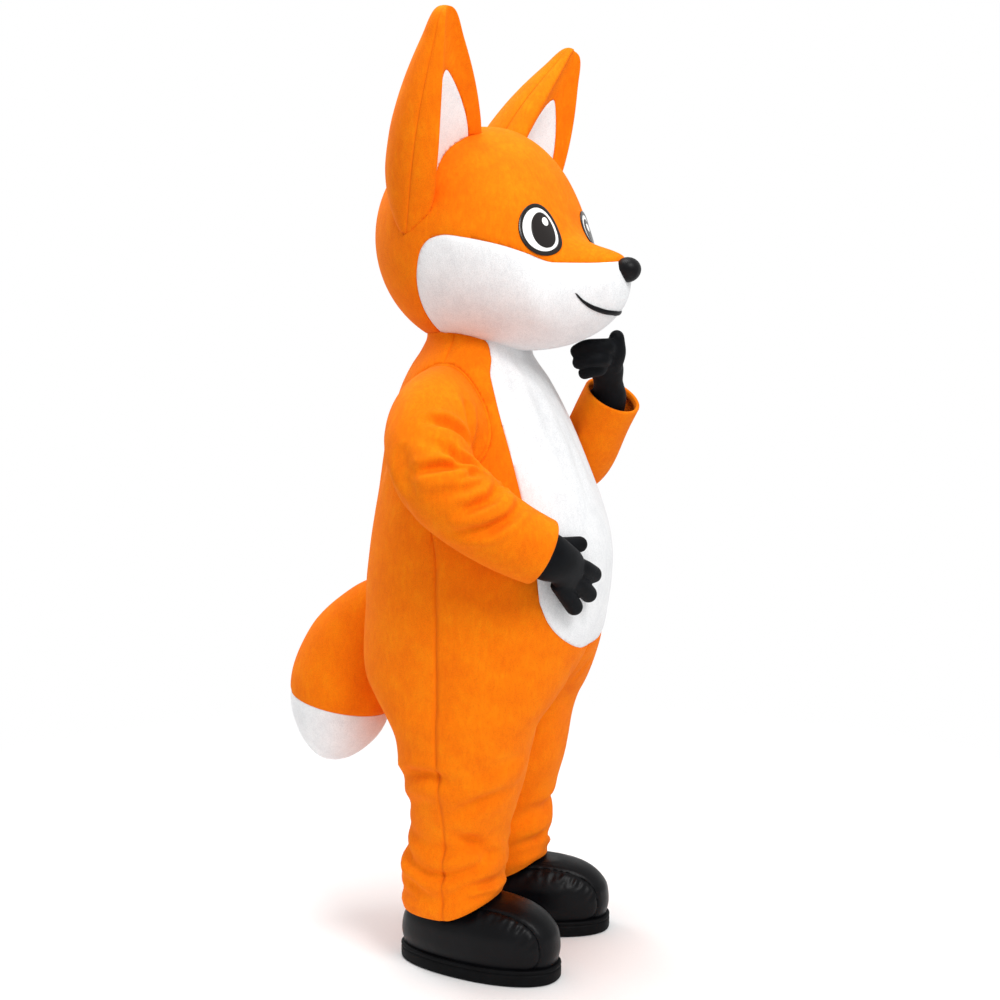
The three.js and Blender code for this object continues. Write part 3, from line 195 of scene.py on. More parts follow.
def plush(name, shade, body, light, sheen_tint, sheen):
    """Short polyester pile: matt, darker where it parts, with a bright bloom at glancing light; its
    seams get painted shade.
    """
    material, tree, surface, here = new_material(name)
    brushed = add(tree, "ShaderNodeMapping", {"Vector": here, "Scale": (1, 1, 0.42)}).outputs[0]
    pile = noise_at(tree, here, PILE, 3, 0.6)
    nap = noise_at(tree, brushed, NAP, 4, 0.62, 0.4)
    cloud = noise_at(tree, here, CLOUD, 3, 0.55, 0.3)
    lay = add(tree, "ShaderNodeMath", {0: nap, 1: cloud}, operation="ADD").outputs[0]
    grain = add(tree, "ShaderNodeMath", {0: lay, 1: 0.5}, operation="MULTIPLY").outputs[0]
    colour = ramp(tree, grain, [(0.3, shade), (0.5, body), (0.7, light)])
    tuft = ramp(tree, pile, [(0.32, "#C6C6C6"), (0.6, "#FFFFFF")])
    colour = mixed(tree, 0.45, colour, tuft, "MULTIPLY")
    # Painted shade: along the seams the colour is pulled towards the shade colour, standing in for the
    # shade in their grooves.
    seam = add(tree, "ShaderNodeAttribute", attribute_name="seam").outputs["Fac"]
    colour = mixed(tree, seam, colour, linear(shade))
    fill(tree, surface, {
        "Base Color": colour,
        "Normal": bumps(tree, [(cloud, 2.5, 0.25), (nap, 1.6, 0.42), (pile, 0.9, 0.6)]),
        "Roughness": 0.93,
        "Specular IOR Level": 0.15,
        "Sheen Weight": sheen,
        "Sheen Roughness": 0.42,
        "Sheen Tint": linear(sheen_tint),
    })
    return material


def stretch_knit():
    """Scuba knit over thin foam: a close matt face with a faint cool bloom."""
    material, tree, surface, here = new_material("polyester_scuba_knit")
    rub = noise_at(tree, here, 26, 3, 0.55)
    loop = noise_at(tree, here, 1.1, 2, 0.5)
    fill(tree, surface, {
        "Base Color": ramp(tree, rub, [(0.3, "#060709"), (0.7, "#0C0E12")]),
        "Normal": bumps(tree, [(rub, 1.4, 0.3), (loop, 0.35, 0.5)]),
        "Roughness": 0.6,
        "Specular IOR Level": 0.09,
        "Sheen Weight": 0.015,
        "Sheen Roughness": 0.4,
        "Sheen Tint": linear("#AEB6C4"),
    })
    return material


def coated_leather():
    """Polyurethane leather over wadding: fine embossed grain and a soft even gloss."""
    material, tree, surface, here = new_material("polyurethane_leather")
    cells = add(
        tree, "ShaderNodeTexVoronoi", {"Vector": here, "Scale": 1 / (1.5 * MM)},
        feature="DISTANCE_TO_EDGE",
    ).outputs["Distance"]
    crease = add(tree, "ShaderNodeMath", {0: cells, 1: 0.16}, operation="MINIMUM").outputs[0]
    cockle = noise_at(tree, here, 34, 3, 0.5, 0.5)
    wear = noise_at(tree, here, 60, 4, 0.6)
    fill(tree, surface, {
        "Base Color": ramp(tree, wear, [(0.3, "#050507"), (0.72, "#0A0B0E")]),
        "Normal": bumps(tree, [(cockle, 2.2, 0.35), (crease, 0.5, 0.35)]),
        "Roughness": ranged(tree, wear, (0.3, 0.7), (0.3, 0.42)),
        "Specular IOR Level": 0.14,
    })
    return material


def moulded_rubber():
    """Moulded rubber: dull, with rubbed patches."""
    material, tree, surface, here = new_material("moulded_rubber")
    rub = noise_at(tree, here, 30, 4, 0.6)
    grit = noise_at(tree, here, 1.4, 2, 0.5)
    fill(tree, surface, {
        "Base Color": ramp(tree, rub, [(0.3, "#050506"), (0.75, "#0D0E10")]),
        "Normal": bumps(tree, [(grit, 0.3, 0.5)]),
        "Roughness": 0.58,
        "Specular IOR Level": 0.08,
    })
    return material


def satin_felt():
    """Pressed black felt with a satin face, used for the nose and the mouth."""
    material, tree, surface, here = new_material("satin_faced_felt")
    fibre = noise_at(tree, here, 1.2, 3, 0.6)
    fill(tree, surface, {
        "Base Color": ramp(tree, fibre, [(0.3, "#060608"), (0.7, "#0D0D10")]),
        "Normal": bumps(tree, [(fibre, 0.3, 0.4)]),
        "Roughness": 0.42,
        "Specular IOR Level": 0.16,
        "Sheen Weight": 0.02,
    })
    return material


def eye_vinyl(name, colour, roughness):
    """Printed vinyl film: even colour, a light orange-peel and a clear gloss."""
    material, tree, surface, here = new_material(name)
    peel = noise_at(tree, here, 7, 2, 0.4)
    fill(tree, surface, {
        "Base Color": linear(colour),
        "Normal": bumps(tree, [(peel, 0.12, 0.3)]),
        "Roughness": roughness,
        "Specular IOR Level": 0.3,
        "Coat Weight": 0.15,
        "Coat Roughness": 0.1,
    })
    return material


ORANGE = plush("orange_polyester_plush", "#F27000", "#FA7B00", "#FF8A04", "#FF9A30", 0.14)
WHITE = plush("white_polyester_plush", "#E9EAEC", "#F3F4F5", "#FAFAFB", "#FFFFFF", 0.15)
GLOVE = stretch_knit()
LEATHER = coated_leather()
RUBBER = moulded_rubber()
FELT = satin_felt()
EYE_DARK = eye_vinyl("dark_vinyl_film", "#17110F", 0.22)
EYE_WHITE = eye_vinyl("white_vinyl_film", "#F7F7F5", 0.35)


# Meshes

def finish_piece(bm, name, material, nodes, thickness=0.0):
    """Writes a bmesh out as a piece that rides on the body and stands for its CAD nodes."""
    mesh = bpy.data.meshes.new(name)
    for face in bm.faces:
        face.smooth = True
    bm.to_mesh(mesh)
    bm.free()
    piece = bpy.data.objects.new(name, mesh)
    bpy.context.scene.collection.objects.link(piece)
    mesh.materials.append(material)
    if thickness:
        wall = piece.modifiers.new("wall", "SOLIDIFY")
        wall.thickness = thickness * MM
        wall.offset = -1
        wall.use_quality_normals = True
    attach(piece, "root")
    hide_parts(*nodes)
    return piece


def modified(bm, kind, **settings):
    """The surface that a modifier makes of a bmesh."""
    mesh = bpy.data.meshes.new("working")
    bm.to_mesh(mesh)
    bm.free()
    holder = bpy.data.objects.new("working", mesh)
    bpy.context.scene.collection.objects.link(holder)
    modifier = holder.modifiers.new("working", kind)
    for name, value in settings.items():
        setattr(modifier, name, value)
    bpy.context.view_layer.update()
    graph = bpy.context.evaluated_depsgraph_get()
    result = bmesh.new()
    result.from_mesh(holder.evaluated_get(graph).data)
    bpy.data.objects.remove(holder)
    bpy.data.meshes.remove(mesh)
    return result


WALL_CORNER = radians(58)  # a wall's face and its cut edge meet at more than this


def outer_skin(node):
    """The outer side of a CAD cloth wall, with its triangles paired into quads."""
    bm = bmesh.new()
    bm.from_mesh(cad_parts[node].data)
    bmesh.ops.remove_doubles(bm, verts=bm.verts, dist=0.02 * MM)
    bm.faces.ensure_lookup_table()
    middle = sum((v.co for v in bm.verts), Vector()) / len(bm.verts)
    unseen = set(bm.faces)
    best, most = None, 0
    while unseen:
        region, front = [], [unseen.pop()]
        while front:
            face = front.pop()
            region.append(face)
            for edge in face.edges:
                if len(edge.link_faces) == 2 and edge.calc_face_angle(pi) < WALL_CORNER:
                    for other in edge.link_faces:
                        if other in unseen:
                            unseen.remove(other)
                            front.append(other)
        flux = sum(f.calc_area() * f.normal.dot(f.calc_center_median() - middle) for f in region)
        if flux > most:
            best, most = region, flux
    keep = set(best)
    bmesh.ops.delete(bm, geom=[f for f in bm.faces if f not in keep], context="FACES")
    bmesh.ops.join_triangles(
        bm, faces=bm.faces, angle_face_threshold=radians(40), angle_shape_threshold=radians(70)
    )
    return bm


CUT_HALVINGS = 9  # how often an edge is halved to find where a cut crosses it
CUT_CLOSE = 0.02  # mm within which a vertex lies on the cut already


def cut_along(bm, height):
    """New edges where a function of the place is 0; every face is then on one side of it."""
    bm.verts.ensure_lookup_table()
    values = {v: height(v.co / MM) for v in bm.verts}
    cuts = [v for v, value in values.items() if abs(value) <= CUT_CLOSE]
    for edge in list(bm.edges):
        a, b = edge.verts
        if values[a] * values[b] < 0 and min(abs(values[a]), abs(values[b])) > CUT_CLOSE:
            near, far = 0.0, 1.0
            for _ in range(CUT_HALVINGS):
                share = (near + far) / 2
                value = height(a.co.lerp(b.co, share) / MM)
                near, far = (share, far) if value * values[a] > 0 else (near, share)
            _, made = bmesh.utils.edge_split(edge, a, share)
            values[made] = 0.0
            cuts.append(made)
    bmesh.ops.connect_verts(bm, verts=cuts)


def centre_of(face):
    return face.calc_center_median() / MM


def kept_where(bm, test):
    """A copy with only the faces whose middle passes the test."""
    part = bm.copy()
    drop = [f for f in part.faces if not test(centre_of(f))]
    bmesh.ops.delete(part, geom=drop, context="FACES")
    return part


def tree_of(points):
    """A search tree for the nearest of some points."""
    tree = KDTree(len(points))
    for index, point in enumerate(points):
        tree.insert(point, index)
    tree.balance()
    return tree


SEAM_REACH = 9  # mm within which two pieces' edges are one seam
SEAM_PULL = 0.5  # the share of a seam's gap that each of its two edges closes
SEAM_PAINTED_SHADE = 0.75  # how much painted shade shows in a seam's line, standing in for the shade in its groove
PAINTED_SHADE_SPREAD = 2.2  # mm to either side of the seam over which the painted shade fades


def seam_layer(bm):
    return bm.verts.layers.float.get("seam") or bm.verts.layers.float.new("seam")


def sew(bms, depth, width, strength=None):
    """Closes the seams between pieces and rolls their edges in, so that each seam is a groove, and marks
    painted shade along each seam.
    Strength gives the share of the depth at each place."""
    points = [
        (v.co.copy(), owner) for owner, bm in enumerate(bms) for v in bm.verts if v.is_boundary
    ]
    tree = tree_of([co for co, _ in points])
    on_seam = [
        any(points[other][1] != owner for _, other, _ in tree.find_range(co, SEAM_REACH * MM))
        for co, owner in points
    ]
    moved = []
    for owner, bm in enumerate(bms):
        bm.normal_update()
        layer = seam_layer(bm)
        for vert in bm.verts:
            gaps = [g for _, index, g in tree.find_range(vert.co, 3 * width * MM) if on_seam[index]]
            if not gaps:
                continue
            gap = min(gaps) / MM
            share = bell(gap, width) * (strength(vert.co) if strength else 1)
            # Painted shade along the seam, which the pile material darkens with.
            vert[layer] = max(vert[layer], bell(gap, PAINTED_SHADE_SPREAD) * SEAM_PAINTED_SHADE)
            target = vert.co - vert.normal * depth * share * MM
            if vert.is_boundary:
                others = [
                    (away, co)
                    for co, index, away in tree.find_range(vert.co, SEAM_REACH * MM)
                    if points[index][1] != owner
                ]
                if others:
                    nearest = min(others, key=lambda item: item[0])[1]
                    target += (nearest - vert.co) * SEAM_PULL
            moved.append((vert, target))
    for vert, target in moved:
        vert.co = target


def groove(bm, seam_points, depth, width):
    """Sinks a skin along its seams and marks how near each place is to one, as painted shade in its
    groove.
    """
    bm.normal_update()
    tree = tree_of(seam_points)
    layer = seam_layer(bm)
    for vert in bm.verts:
        gap = tree.find(vert.co)[2] / MM
        if gap < 3 * width:
            # Painted shade along the seam, which the pile material darkens with.
            vert[layer] = SEAM_PAINTED_SHADE * bell(gap, PAINTED_SHADE_SPREAD)
            vert.co = vert.co - vert.normal * depth * bell(gap, width) * MM


FOLD_SWELL = 5.5  # mm, the most that the cloth rises between folds
FOLD_DEPTH = 20  # mm, the most that a fold sinks
BANK_OFF = 2.1  # fold widths from a fold to the swelling of the cloth beside it
BANK_HEIGHT = 0.4  # of the fold's depth
BANK_WIDTH = 0.8  # of the fold's width


def press(bm, folds, strength=1.0, side=0):
    """Soft troughs (depth under 0) and ridges (over 0) along paths. Side keeps to one leg."""
    bm.normal_update()
    bm.verts.ensure_lookup_table()
    places = np.array([v.co[:] for v in bm.verts]) / MM
    lift = np.zeros(len(places))
    surface = BVHTree.FromBMesh(bm)
    for depth, width, points in folds:
        path = np.array([surface.find_nearest(Vector(p) * MM)[0] for p in points]) / MM
        runs = np.linalg.norm(np.diff(path, axis=0), axis=1)
        total = runs.sum()
        gap = np.full(len(places), 1e9)
        along = np.zeros(len(places))
        start = 0.0
        for a, b, run in zip(path, path[1:], runs):
            t = np.clip((places - a) @ (b - a) / run ** 2, 0, 1)
            off = np.linalg.norm(places - (a + t[:, None] * (b - a)), axis=1)
            closer = off < gap
            gap = np.where(closer, off, gap)
            along = np.where(closer, (start + t * run) / total, along)
            start += run
        fade = np.clip(np.sin(np.pi * np.clip(along, 0.02, 0.98)), 0, 1) ** 0.7
        lift += depth * np.exp(-((gap / width) ** 2)) * fade
        off_bank = (gap - width * BANK_OFF) / (BANK_WIDTH * width)
        lift -= BANK_HEIGHT * depth * np.exp(-(off_bank ** 2)) * fade
    if side:
        lift = np.where(places[:, 0] * side > 0, lift, 0)
    most = np.where(lift > 0, FOLD_SWELL, FOLD_DEPTH)
    lift = most * np.tanh(lift * strength / most)
    for vert, rise in zip(bm.verts, lift):
        if abs(rise) > 0.01:
            vert.co += vert.normal * rise * MM


def soften(bm, rounds, verts=None):
    """Evens a surface out; its open edges stay."""
    inside = [v for v in (verts or bm.verts) if not v.is_boundary]
    for _ in range(rounds):
        bmesh.ops.smooth_vert(
            bm, verts=inside, factor=0.5, use_axis_x=True, use_axis_y=True, use_axis_z=True
        )


HEM_ROLL = 4.2  # mm, the radius of a turned hem
HEM_TURNED = 14  # mm of cloth turned in behind it


def turn_hem(bm, test):
    """Turns the cloth in at the open edges that pass the test, as a soft rounded hem."""
    bm.normal_update()
    edges = [
        e for e in bm.edges if e.is_boundary and all(test(v.co / MM) for v in e.verts)
    ]
    if not edges:
        return
    rim = {v for e in edges for v in e.verts}
    frames = {}
    for vert in rim:
        face_middles = [f.calc_center_median() for f in vert.link_faces]
        away = vert.co - sum(face_middles, Vector()) / len(face_middles)
        along = Vector()
        for e in vert.link_edges:
            if e.is_boundary:
                run = e.other_vert(vert).co - vert.co
                along += run if run.dot(along) >= 0 else -run
        along.normalize()
        out = (away - along * away.dot(along) - vert.normal * away.dot(vert.normal)).normalized()
        frames[vert] = (vert.co.copy(), out, vert.normal.copy())
    bend = [
        (HEM_ROLL * sin(radians(angle)), HEM_ROLL * (1 - cos(radians(angle))))
        for angle in range(30, 181, 30)
    ]
    bend += [(-HEM_TURNED / 2, 2 * HEM_ROLL), (-HEM_TURNED, 2 * HEM_ROLL)]
    ring = edges
    source = {v: v for v in rim}
    number = bm.faces.layers.int.get("piece")
    for ahead, down in bend:
        grown = bmesh.ops.extrude_edge_only(bm, edges=ring)["geom"]
        made = {g for g in grown if isinstance(g, bmesh.types.BMFace)}
        if number:
            for face in made:
                beside = (f for e in face.edges for f in e.link_faces if f not in made)
                face[number] = next(beside)[number]
        ring = [g for g in grown if isinstance(g, bmesh.types.BMEdge)]
        fresh = {g for g in grown if isinstance(g, bmesh.types.BMVert)}
        follow = {}
        for vert in fresh:
            linked = (e.other_vert(vert) for e in vert.link_edges)
            follow[vert] = source[next(v for v in linked if v in source)]
        for vert, root in follow.items():
            base, out, normal = frames[root]
            vert.co = base + (out * ahead - normal * down) * MM
        source = follow
    bmesh.ops.recalc_face_normals(bm, faces=bm.faces)


def fan(bm, ring, point):
    """Closes a ring with triangles that meet at a point."""
    tip = bm.verts.new(point)
    for a, b in zip(ring, ring[1:] + ring[:1]):
        bm.faces.new((a, b, tip))


def rings_of(profile, around, closed_end=None):
    """Rings of points joined into a skin: a circle is extruded from ring to ring."""
    bm = bmesh.new()
    ring = bmesh.ops.create_circle(bm, segments=around, radius=1)["verts"]
    for vert, co in zip(ring, profile[0]):
        vert.co = co
    edges = list(bm.edges)
    for points in profile[1:]:
        grown = bmesh.ops.extrude_edge_only(bm, edges=edges)["geom"]
        fresh = [g for g in grown if isinstance(g, bmesh.types.BMVert)]
        edges = [g for g in grown if isinstance(g, bmesh.types.BMEdge)]
        older = {v: i for i, v in enumerate(ring)}
        order = {}
        for vert in fresh:
            for edge in vert.link_edges:
                other = edge.other_vert(vert)
                if other in older:
                    order[older[other]] = vert
        ring = [order[i] for i in range(around)]
        for vert, co in zip(ring, points):
            vert.co = co
    if closed_end is not None:
        fan(bm, ring, closed_end)
    bmesh.ops.recalc_face_normals(bm, faces=bm.faces)
    return bm


# Suit. Its folds are listed: how deep each is pressed (under 0) or how high it is raised, how
# wide it is, and where it runs on the cloth. The right arm's lie round the inside of its elbow.
RIGHT_SLEEVE_FOLDS = [
    (-9, 9, [(-390, -30, -160), (-365, -65, -165), (-335, -95, -185), (-310, -110, -215)]),
    (7, 11, [(-400, -45, -185), (-375, -85, -195), (-345, -110, -215)]),
    (-11, 8, [(-410, -70, -215), (-390, -100, -230), (-360, -120, -240), (-340, -140, -252)]),
    (-6, 6, [(-390, -85, -208), (-384, -100, -228)]),
    (-10, 9, [(-435, -20, -260), (-425, -60, -250), (-405, -100, -245), (-375, -130, -255)]),
    (6, 12, [(-430, -35, -285), (-415, -80, -275), (-385, -125, -270)]),
    (-7, 7, [(-415, -105, -272), (-375, -135, -262)]),
    (-10, 10, [(-345, -165, -290), (-385, -165, -312), (-410, -145, -322), (-425, -112, -336)]),
    (6, 12, [(-330, -185, -305), (-372, -185, -335), (-405, -150, -350)]),
    (-9, 11, [(-330, -205, -328), (-380, -195, -350), (-405, -165, -370), (-410, -90, -380)]),
    (-6, 7, [(-322, -168, -284), (-315, -165, -300)]),
    (-7, 12, [(-270, -65, -120), (-285, -80, -170), (-290, -90, -225)]),
    (-4, 20, [(-420, 20, -200), (-432, 5, -250), (-420, -10, -310)]),
    (-5, 16, [(-330, 60, -230), (-370, 50, -280), (-385, 5, -340)]),
    (-6, 14, [(-300, -20, -330), (-300, -90, -380), (-290, -150, -420)]),
]
LEFT_SLEEVE_FOLDS = [
    (-8, 10, [(350, -10, -175), (340, -60, -170), (310, -100, -185)]),
    (-9, 10, [(375, -30, -230), (355, -90, -215), (320, -125, -215)]),
    (-8, 9, [(365, -90, -260), (340, -130, -235), (300, -150, -225)]),
    (5, 13, [(370, -60, -290), (330, -120, -300), (290, -150, -290)]),
    (-6, 12, [(280, -70, -330), (240, -120, -320), (205, -150, -290)]),
    (-4, 13, [(200, -110, -260), (175, -150, -215), (160, -180, -180)]),
    (-4, 12, [(320, -190, -220), (290, -220, -180), (270, -250, -150)]),
    (-7, 12, [(268, -62, -120), (280, -80, -165), (270, -95, -215)]),
]
# Trouser legs, the wearer's right one first; they bunch above the boots.
RIGHT_LEG_FOLDS = [
    (-9, 13, [(-200, 100, -935), (-235, 60, -915), (-262, 20, -912), (-258, -25, -922)]),
    (7, 16, [(-215, 95, -960), (-262, 35, -940), (-262, -10, -945)]),
    (-8, 13, [(-236, -20, -1002), (-232, -80, -968), (-190, -122, -940)]),
    (6, 18, [(-225, -60, -940), (-190, -110, -915), (-140, -130, -900)]),
    (-12, 9, [
        (-160, 115, -1088), (-200, 95, -1120), (-222, 45, -1136), (-226, -10, -1136), (-205, -62, -1120),
        (-165, -90, -1095),
    ]),
    (7, 14, [
        (-140, 125, -1070), (-200, 80, -1095), (-232, 30, -1108), (-230, -30, -1104), (-190, -80, -1080),
    ]),
    (-8, 8, [(-150, 125, -1150), (-215, 78, -1170), (-226, 25, -1192)]),
    (-10, 8, [(-228, 10, -1192), (-215, -38, -1162), (-175, -74, -1160), (-122, -92, -1168)]),
    (-9, 12, [(-226, -20, -1040), (-208, -52, -1058), (-188, -78, -1088), (-150, -95, -1110)]),
    (-6, 7, [(-230, -5, -1176), (-215, -44, -1184), (-160, -90, -1178)]),
    (-9, 10, [(-60, 110, -1120), (-30, 50, -1140), (-25, -20, -1130)]),
    (-8, 14, [(-120, 140, -1020), (-60, 110, -1040), (-30, 40, -1030)]),
    (-7, 12, [(-90, -110, -1040), (-45, -70, -1060), (-30, -10, -1080)]),
    (-6, 16, [(-40, 60, -930), (-20, 0, -900), (-30, -80, -870)]),
    (-7, 8, [(-110, 145, -1175), (-60, 120, -1190), (-30, 60, -1195)]),
]
LEFT_LEG_FOLDS = [
    (-10, 9, [
        (55, -20, -1160), (75, -75, -1152), (110, -92, -1150), (155, -105, -1140), (200, -90, -1130),
    ]),
    (-4, 8, [(55, -30, -1196), (100, -80, -1176), (160, -102, -1180), (215, -80, -1186)]),
    (-8, 13, [(65, -60, -1090), (90, -88, -1075), (145, -108, -1074), (200, -95, -1060)]),
    (6, 13, [(60, -40, -1125), (110, -90, -1118), (170, -108, -1108)]),
    (-11, 10, [(250, 70, -1120), (262, 10, -1140), (250, -50, -1128), (205, -92, -1105)]),
    (-9, 12, [(120, 128, -1090), (190, 118, -1110), (245, 70, -1090)]),
    (-8, 8, [(90, 120, -1165), (150, 138, -1180), (230, 100, -1185)]),
    (-8, 14, [(262, 20, -1010), (255, -50, -985), (205, -105, -960)]),
    (-8, 14, [(240, 90, -930), (268, 30, -915), (262, -20, -925)]),
    (-8, 15, [(90, 100, -1000), (150, 125, -985), (210, 105, -1000)]),
    (-6, 16, [(55, 60, -930), (45, 0, -900), (60, -80, -870)]),
    (-6, 8, [(260, -10, -1188), (230, -60, -1172), (180, -95, -1160)]),
]
# Trunk: shallow drags from the crotch, under the arms and across the back.
TRUNK_FOLDS = [
    (-5, 9, [(45, -195, -748), (55, -214, -722), (70, -236, -695)]),
    (-5, 9, [(-45, -195, -748), (-58, -214, -720), (-80, -236, -690)]),
    (-5, 16, [(-12, -190, -762), (-60, -190, -800), (-120, -180, -850)]),
    (-5, 16, [(12, -190, -762), (62, -190, -805), (125, -178, -855)]),
    (-4, 18, [(-215, 120, -300), (-235, 60, -330), (-252, -20, -345)]),
    (-4, 18, [(215, 120, -305), (235, 60, -330), (252, -20, -350)]),
    (-5, 20, [(-120, 180, -120), (-60, 190, -160), (-10, 198, -230)]),
    (-5, 20, [(120, 180, -125), (62, 190, -165), (14, 198, -240)]),
    (-5, 20, [(-190, 150, -150), (-175, 165, -230), (-150, 190, -330)]),
    (-5, 20, [(190, 150, -150), (178, 165, -235), (152, 190, -335)]),
    (-6, 18, [(-25, 232, -760), (-90, 205, -800), (-160, 150, -840)]),
    (-6, 18, [(25, 232, -760), (92, 205, -805), (165, 148, -845)]),
    (-3, 26, [(-262, 60, -560), (-262, -20, -590), (-235, -120, -610)]),
    (-3, 26, [(262, 60, -565), (262, -20, -590), (235, -120, -615)]),
    (-4, 16, [(-130, -120, -110), (-160, -135, -190), (-170, -160, -280)]),
    (-4, 16, [(130, -120, -110), (160, -135, -195), (170, -160, -285)]),
]
# The white panel falls in long faint drags from the neck.
BELLY_FOLDS = [
    (-3.5, 13, [(-100, -70, -22), (-106, -100, -65), (-122, -135, -130), (-130, -160, -200)]),
    (-3, 12, [(-88, -90, -40), (-32, -135, -85), (-8, -162, -130)]),
    (-3.5, 14, [(-30, -182, -170), (-16, -206, -216), (-26, -232, -276), (-40, -256, -342)]),
    (-3, 17, [(-70, -95, -20), (-66, -140, -100), (-78, -180, -200), (-80, -215, -300)]),
    (-3, 17, [(60, -95, -22), (68, -140, -110), (74, -180, -200), (70, -220, -310)]),
    (-3.5, 13, [(105, -75, -25), (118, -125, -120), (132, -160, -210)]),
    (-3, 15, [(30, -180, -165), (24, -214, -240), (36, -250, -330)]),
    (-2.5, 20, [(-120, -200, -330), (-105, -235, -400), (-90, -255, -480)]),
    (-2.5, 20, [(110, -205, -340), (96, -240, -410), (84, -258, -490)]),
]

# Trunk and legs: a row for each height above the floor, with how far a leg's middle stands from
# the middle plane, its half width beyond that, its depth before and behind, and its centre.
BODY = table(
    "z offset side front back middle",
    (139, 131, 102, 92, 126, 6), (163, 131, 112, 100, 136, 6), (188, 131, 109, 101, 126, 5),
    (215, 131, 112, 104, 131, 5), (242, 131, 112, 103, 132, 4), (272, 131, 108, 102, 121, 3),
    (304, 131, 106, 104, 112, 1), (336, 132, 110, 110, 112, 0), (370, 133, 118, 120, 114, 0),
    (410, 135, 128, 134, 122, 0), (451, 137, 133, 146, 129, 0), (510, 139, 137, 160, 133, 0),
    (560, 137, 141, 176, 156, 0), (600, 120, 152, 200, 190, 0), (650, 88, 183, 226, 226, 0),
    (700, 48, 223, 249, 242, 0), (760, 12, 260, 271, 248, 0), (800, 0, 272, 280, 248, 0),
    (850, 0, 270, 287, 246, 0), (900, 0, 268, 290, 240, 0), (950, 0, 264, 284, 233, 0),
    (1010, 0, 258, 267, 222, 0), (1096, 0, 246, 233, 207, 0), (1165, 0, 232, 203, 196, 0),
    (1239, 0, 212, 167, 176, 2), (1291, 0, 188, 140, 154, 4), (1326, 0, 160, 118, 136, 5),
    (1342, 0, 143, 111.5, 126, 5), (1362, 0, 124, 111.5, 117, 5), (1376, 0, 112, 111.5, 112, 5),
    (1392, 0, 112, 111.5, 112, 5),
)
FULLNESS = 2.15  # exponent of a body section's outline
HEM_HEIGHT = 136.2
HEM_FRONT_LIFT = 38.3  # how much higher the hem rides on the boot's front
HEM_LIFT_FADE = 190  # the height over which that runs out
NECK_TOP = 1392
LEG_LEAN = table(
    "z right left forward",
    (139, 10, 27, 9), (270, 10, 27, 9), (520, 0, 0, 0),
)
# The largest folds of the CAD legs: height, turn round the leg, depth, tall, wide and slant.
LEG_WAVES = [
    (172, 112, 13, 10, 95, -14), (206, 8, 11, 12, 58, 20), (186, -40, 9, 9, 60, 6),
    (262, 140, 8, 15, 45, 14), (366, 190, 12, 17, 52, 18), (316, 35, 9, 18, 50, -26),
    (430, 165, 7, 18, 42, -20),
]
LEFT_LEG_SHIFT = 11  # degrees that the left leg's are turned further round
BELLY = table(  # half the white panel's width at each height
    "half z",
    (0, 711), (64, 715), (101, 724), (134, 739), (162, 760), (183, 788), (199, 828), (207, 950),
    (204, 1010), (196, 1100), (183, 1200), (156, 1290), (117, 1340), (107, 1362), (102, 1376),
    (98, 1392),
)
BELLY_ROUND = 6  # rows of it up to where its sides run upright
ARMHOLE = {"phi": 97, "half_phi": 36, "z": 1200, "half_height": 122}
SIDE_SEAM_PHI = 90
SUIT_ROWS, SUIT_COLUMNS = 168, 104  # of faces in one half of the suit

body_at = {name: smoothed(BODY, "z", name) for name in ("offset", "side", "front", "back", "middle")}
lean_at = {name: smoothed(LEG_LEAN, "z", name) for name in ("right", "left", "forward")}
belly_foot = smoothed(BELLY[:BELLY_ROUND + 1], "half", "z")
belly_half = smoothed(BELLY[BELLY_ROUND - 1:], "z", "half")


def leg_wave(side, phi, z):
    total = 0
    for level, turn, depth, tall, wide, slant in LEG_WAVES:
        off = (phi - turn - (LEFT_LEG_SHIFT if side > 0 else 0) + 900) % 360 - 180
        rise = z - level - slant * (off / wide) ** 2
        total += depth * exp(-((rise / tall) ** 2) - (off / wide) ** 2)
    return total


def body_point(side, phi, level):
    """A place on the suit: phi runs round from the front, 90 at the side, 180 at the back."""
    angle = radians(phi)
    fold = leg_wave(side, phi, level) if level < LEG_LEAN[-1]["z"] else 0
    depth = body_at["front" if cos(angle) > 0 else "back"](level)
    across = signed_power(sin(angle), 2 / FULLNESS)
    along = signed_power(cos(angle), 2 / FULLNESS)
    fade = max(0, 1 - (level - HEM_HEIGHT) / HEM_LIFT_FADE) ** 2
    lift = HEM_FRONT_LIFT * fade * max(0, cos(angle)) ** 1.3
    lean = lean_at["left" if side > 0 else "right"](level)
    ahead = lean_at["forward"](level) if side > 0 else 0
    return place(
        side * (body_at["offset"](level) + (body_at["side"](level) - fold) * across) + lean,
        body_at["middle"](level) - (depth - fold) * along - ahead,
        level + lift + FLOOR,
    )


def front_middle(level):
    share = body_at["offset"](level) / body_at["side"](level)
    return -90 if share >= 1 else -degrees(asin(share ** (FULLNESS / 2)))


# The suit is cut flat, with phi across and height up, and then laid on the body.
def off_armhole(spot):
    phi, level, _ = spot
    across = (phi - ARMHOLE["phi"]) / ARMHOLE["half_phi"]
    up = (level - ARMHOLE["z"]) / ARMHOLE["half_height"]
    return (hypot(across, up) - 1) * ARMHOLE["half_height"]


def off_belly(spot):
    phi, level, _ = spot
    turn = radians(min(phi, 90))
    x = body_at["offset"](level) + body_at["side"](level) * signed_power(sin(turn), 2 / FULLNESS)
    return max(belly_foot(x) - level, x - belly_half(level))


def past_side_seam(spot):
    phi, level, _ = spot
    share = ease(900, ARMHOLE["z"] - ARMHOLE["half_height"], level)
    return phi - SIDE_SEAM_PHI - (ARMHOLE["phi"] - SIDE_SEAM_PHI) * share


PANELS = ["suit_front_left", "suit_back_left", "suit_front_right", "suit_back_right", "suit_belly"]


